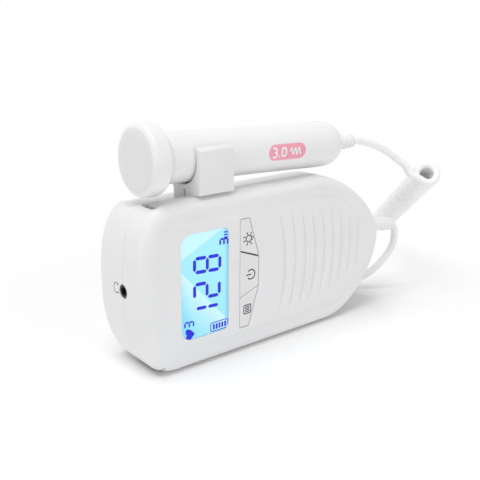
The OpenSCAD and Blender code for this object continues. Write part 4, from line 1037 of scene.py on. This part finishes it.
# %% The finishes and where they go
# Name, colour, drift in tone, roughness, its drift, scale and depth of the grain, soft edge in mm
finishes = {
    "shell": grained("moulded_white", (0.83, 0.83, 0.833), 0.02, 0.38, 0.05, 1500.0, 0.02, 0.25),
    "holder": grained("holder_white", (0.82, 0.82, 0.825), 0.015, 0.42, 0.04, 1500.0, 0.02, 0.2),
    "probe": grained("probe_white", (0.86, 0.86, 0.862), 0.015, 0.3, 0.05, 1200.0, 0.012, 0.0),
    "face": grained("acoustic_face", (0.79, 0.79, 0.795), 0.015, 0.45, 0.04, 900.0, 0.015, 0.0),
    "relief": grained("soft_sleeve", (0.88, 0.88, 0.885), 0.02, 0.55, 0.04, 1600.0, 0.03, 0.0),
    "cord": grained("cord_jacket", (0.93, 0.93, 0.935), 0.02, 0.5, 0.05, 1600.0, 0.02, 0.0),
    "keys": grained("key_white", (0.80, 0.80, 0.805), 0.015, 0.4, 0.04, 1500.0, 0.02, 0.15),
    "window": lit_display(),
    "ink": grained("display_blue", (0.004, 0.006, 0.7), 0.1, 0.3, 0.02, 800.0, 0.0, 0.0,
                   Emission_Color=(0.0, 0.0, 0.8, 1.0), Emission_Strength=0.12),
    # The grey print also colours the stroke of painted shade at the gap between the lamp and power keys
    "print": grained("grey_print_and_gap_shade", (0.05, 0.05, 0.055), 0.1, 0.5, 0.02, 800.0, 0.0, 0.0),
    "label": grained("pink_film", (0.90, 0.36, 0.46), 0.04, 0.35, 0.03, 900.0, 0.01, 0.0),
    "label_print": grained("white_print", (0.93, 0.93, 0.93), 0.01, 0.4, 0.02, 800.0, 0.0, 0.0),
    "socket": grained("socket_black", (0.012, 0.012, 0.013), 0.2, 0.35, 0.05, 1400.0, 0.02, 0.0),
    "black_plastic": grained("package_black", (0.02, 0.02, 0.022), 0.2, 0.5, 0.08, 2000.0, 0.04, 0.0),
    "board": grained("solder_mask", (0.02, 0.16, 0.06), 0.2, 0.35, 0.08, 700.0, 0.03, 0.0),
    "cells": grained("cell_wrap", (0.55, 0.38, 0.08), 0.08, 0.3, 0.05, 500.0, 0.01, 0.0, Metallic=0.7),
    "contact_metal": grained("nickel_plate", (0.62, 0.6, 0.56), 0.06, 0.28, 0.08, 900.0, 0.03, 0.0,
                             Metallic=1.0),
    "pressed_steel": grained("basket_steel", (0.22, 0.22, 0.23), 0.08, 0.4, 0.08, 900.0, 0.03, 0.0,
                             Metallic=0.8),
    "magnet": grained("magnet_ferrite", (0.05, 0.05, 0.052), 0.2, 0.6, 0.1, 1200.0, 0.06, 0.0),
    "paper": grained("cone_paper", (0.03, 0.03, 0.032), 0.3, 0.85, 0.05, 1500.0, 0.08, 0.0),
    "screw_steel": grained("zinc_screw", (0.52, 0.52, 0.54), 0.08, 0.32, 0.08, 1100.0, 0.04, 0.05,
                           Metallic=1.0),
    "crystal": grained("silvered_crystal", (0.6, 0.58, 0.52), 0.08, 0.35, 0.1, 1500.0, 0.03, 0.0,
                       Metallic=0.6),
    "backing": grained("cast_backing", (0.06, 0.06, 0.062), 0.2, 0.7, 0.08, 900.0, 0.05, 0.0),
    "glass_block": grained("display_glass", (0.35, 0.6, 0.75), 0.03, 0.1, 0.02, 600.0, 0.0, 0.0),
    "diffuser": grained("backlight_sheet", (0.85, 0.85, 0.85), 0.02, 0.6, 0.04, 1000.0, 0.02, 0.0)}

slot_of = {row["node"]: row["material_slot"] for row in frame["record"]["subparts"]}
for name, node in frame["nodes"].items():
    finish = finishes[slot_of[name]]
    if node.material_slots:
        for material_slot in node.material_slots:
            material_slot.material = finish
    else:
        node.data.materials.append(finish)
# Pieces with a finish of their own: print, and the dark stroke of painted shade at the gap between two keys
print_and_shade_pieces = {
    display_ink: "ink", label_mark: "label_print", lamp_mark: "print", power_mark: "print",
    square_mark: "print", gap_shade_stroke: "print", socket_mark: "print"}
new_pieces = [cord, head, handle, face, probe_relief, unit_relief, front, rear, holder, window, label,
              *print_and_shade_pieces]
for made in new_pieces:
    made.data.materials.clear()
    made.data.materials.append(finishes[print_and_shade_pieces.get(made) or made["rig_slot"]])
print("finishes:", len(finishes), "pieces dressed:", len(new_pieces))

# %% [markdown]
# ## Studio
#
# A white product picture needs a floor that is white but still holds a shadow. More light would do it,
# but would burn out the object's own white. So near the object the floor is a plain white surface,
# which the lamps light and the object shades. Further off it turns into an even white that only the
# camera, gloss and glass see. The world shows them the same white, and lights the object more mildly.


# %% Rays that see the backdrop
def seen_directly(tree):
    """1 for rays from the camera and for those that a gloss or a glass sends on, 0 for the rest."""
    rays = tree.nodes.new("ShaderNodeLightPath")
    seen = rays.outputs["Is Camera Ray"]
    for kind in ("Is Glossy Ray", "Is Transmission Ray"):
        seen = maths(tree, "MAXIMUM", seen, rays.outputs[kind])
    return seen


# %% Floor
# Half its side, and how far out it starts and ends to turn white, all in m
FLOOR = 3.0
CLEAR_FROM, CLEAR_TO = 0.07, 0.165
floor_mesh = bpy.data.meshes.new("studio_floor")
floor_mesh.from_pydata(
    [(-FLOOR, -FLOOR, 0), (FLOOR, -FLOOR, 0), (FLOOR, FLOOR, 0), (-FLOOR, FLOOR, 0)], [], [(0, 1, 2, 3)])
floor = bpy.data.objects.new("studio_floor", floor_mesh)
bpy.context.scene.collection.objects.link(floor)
floor_paint, floor_tree, floor_surface = nodes_of("floor_white")
floor_surface.inputs["Base Color"].default_value = (0.97, 0.97, 0.975, 1.0)
floor_surface.inputs["Roughness"].default_value = 0.9
floor_surface.inputs["Specular IOR Level"].default_value = 0.1
floor_place = floor_tree.nodes.new("ShaderNodeTexCoord")
floor_far = floor_tree.nodes.new("ShaderNodeVectorMath")
floor_far.operation = "LENGTH"
floor_clear = floor_tree.nodes.new("ShaderNodeMapRange")
floor_clear.inputs["From Min"].default_value = CLEAR_FROM
floor_clear.inputs["From Max"].default_value = CLEAR_TO
floor_white = floor_tree.nodes.new("ShaderNodeEmission")
floor_white.inputs["Strength"].default_value = 1.0
floor_mix = floor_tree.nodes.new("ShaderNodeMixShader")
floor_out = next(node for node in floor_tree.nodes if node.type == "OUTPUT_MATERIAL")
link = floor_tree.links.new
link(floor_place.outputs["Object"], floor_far.inputs[0])
link(floor_far.outputs["Value"], floor_clear.inputs["Value"])
floor_share = maths(floor_tree, "MULTIPLY", floor_clear.outputs["Result"], seen_directly(floor_tree))
link(floor_share, floor_mix.inputs[0])
link(floor_surface.outputs[0], floor_mix.inputs[1])
link(floor_white.outputs[0], floor_mix.inputs[2])
link(floor_mix.outputs[0], floor_out.inputs["Surface"])
floor_mesh.materials.append(floor_paint)
print("floor is lit up to", CLEAR_FROM, "m and plain white from", CLEAR_TO, "m")

# %% World
AMBIENT = 0.44
world = bpy.data.worlds.new("studio")
world.use_nodes = True
bpy.context.scene.world = world
tree = world.node_tree
tree.nodes.clear()
around = tree.nodes.new("ShaderNodeBackground")
around.inputs["Strength"].default_value = AMBIENT
behind = tree.nodes.new("ShaderNodeBackground")
behind.inputs["Strength"].default_value = 1.0
for background in (around, behind):
    background.inputs["Color"].default_value = (1.0, 1.0, 1.0, 1.0)
blend = tree.nodes.new("ShaderNodeMixShader")
out = tree.nodes.new("ShaderNodeOutputWorld")
tree.links.new(seen_directly(tree), blend.inputs[0])
tree.links.new(around.outputs[0], blend.inputs[1])
tree.links.new(behind.outputs[0], blend.inputs[2])
tree.links.new(blend.outputs[0], out.inputs[0])
print("light from all round:", AMBIENT)

# %% [markdown]
# Three soft square lamps light the object: a strong one overhead, a weak one that lifts the display
# end, and a low one in front that fills the keys and the grooves. A sun would draw hard shadows, which
# a picture of a white product doesn't have.


# %% Lamps
# Place and the point it faces in m, side in m, power in W
LAMPS = {
    "key_lamp": ((-0.35, 0.0, 1.3), (0.0, 0.0, 0.04), 0.9, 11.0),
    "end_lamp": ((-1.3, -0.1, 0.4), (0.0, 0.0, 0.06), 0.9, 1.4),
    "fill_lamp": ((0.4, -1.4, 0.32), (0.0, 0.0, 0.04), 1.0, 4.4)}


def lamp_at(name, place, aim, size, power):
    """Square soft lamp that faces a point."""
    data = bpy.data.lights.new(name, "AREA")
    data.size, data.energy = size, power
    made = bpy.data.objects.new(name, data)
    bpy.context.scene.collection.objects.link(made)
    back = unit(np.array(place) - np.array(aim))
    right = unit(np.cross([0.0, 0.0, 1.0], back))
    matrix = np.eye(4)
    matrix[:3, :3] = np.column_stack([right, np.cross(back, right), back])
    matrix[:3, 3] = place
    made.matrix_world = Matrix(matrix.tolist())


for name, row in LAMPS.items():
    lamp_at(name, *row)
bpy.context.scene.view_settings.view_transform = "Standard"
print("lamps and their power in W:", {name: row[-1] for name, row in LAMPS.items()})

# %% The end
bpy.context.view_layer.update()
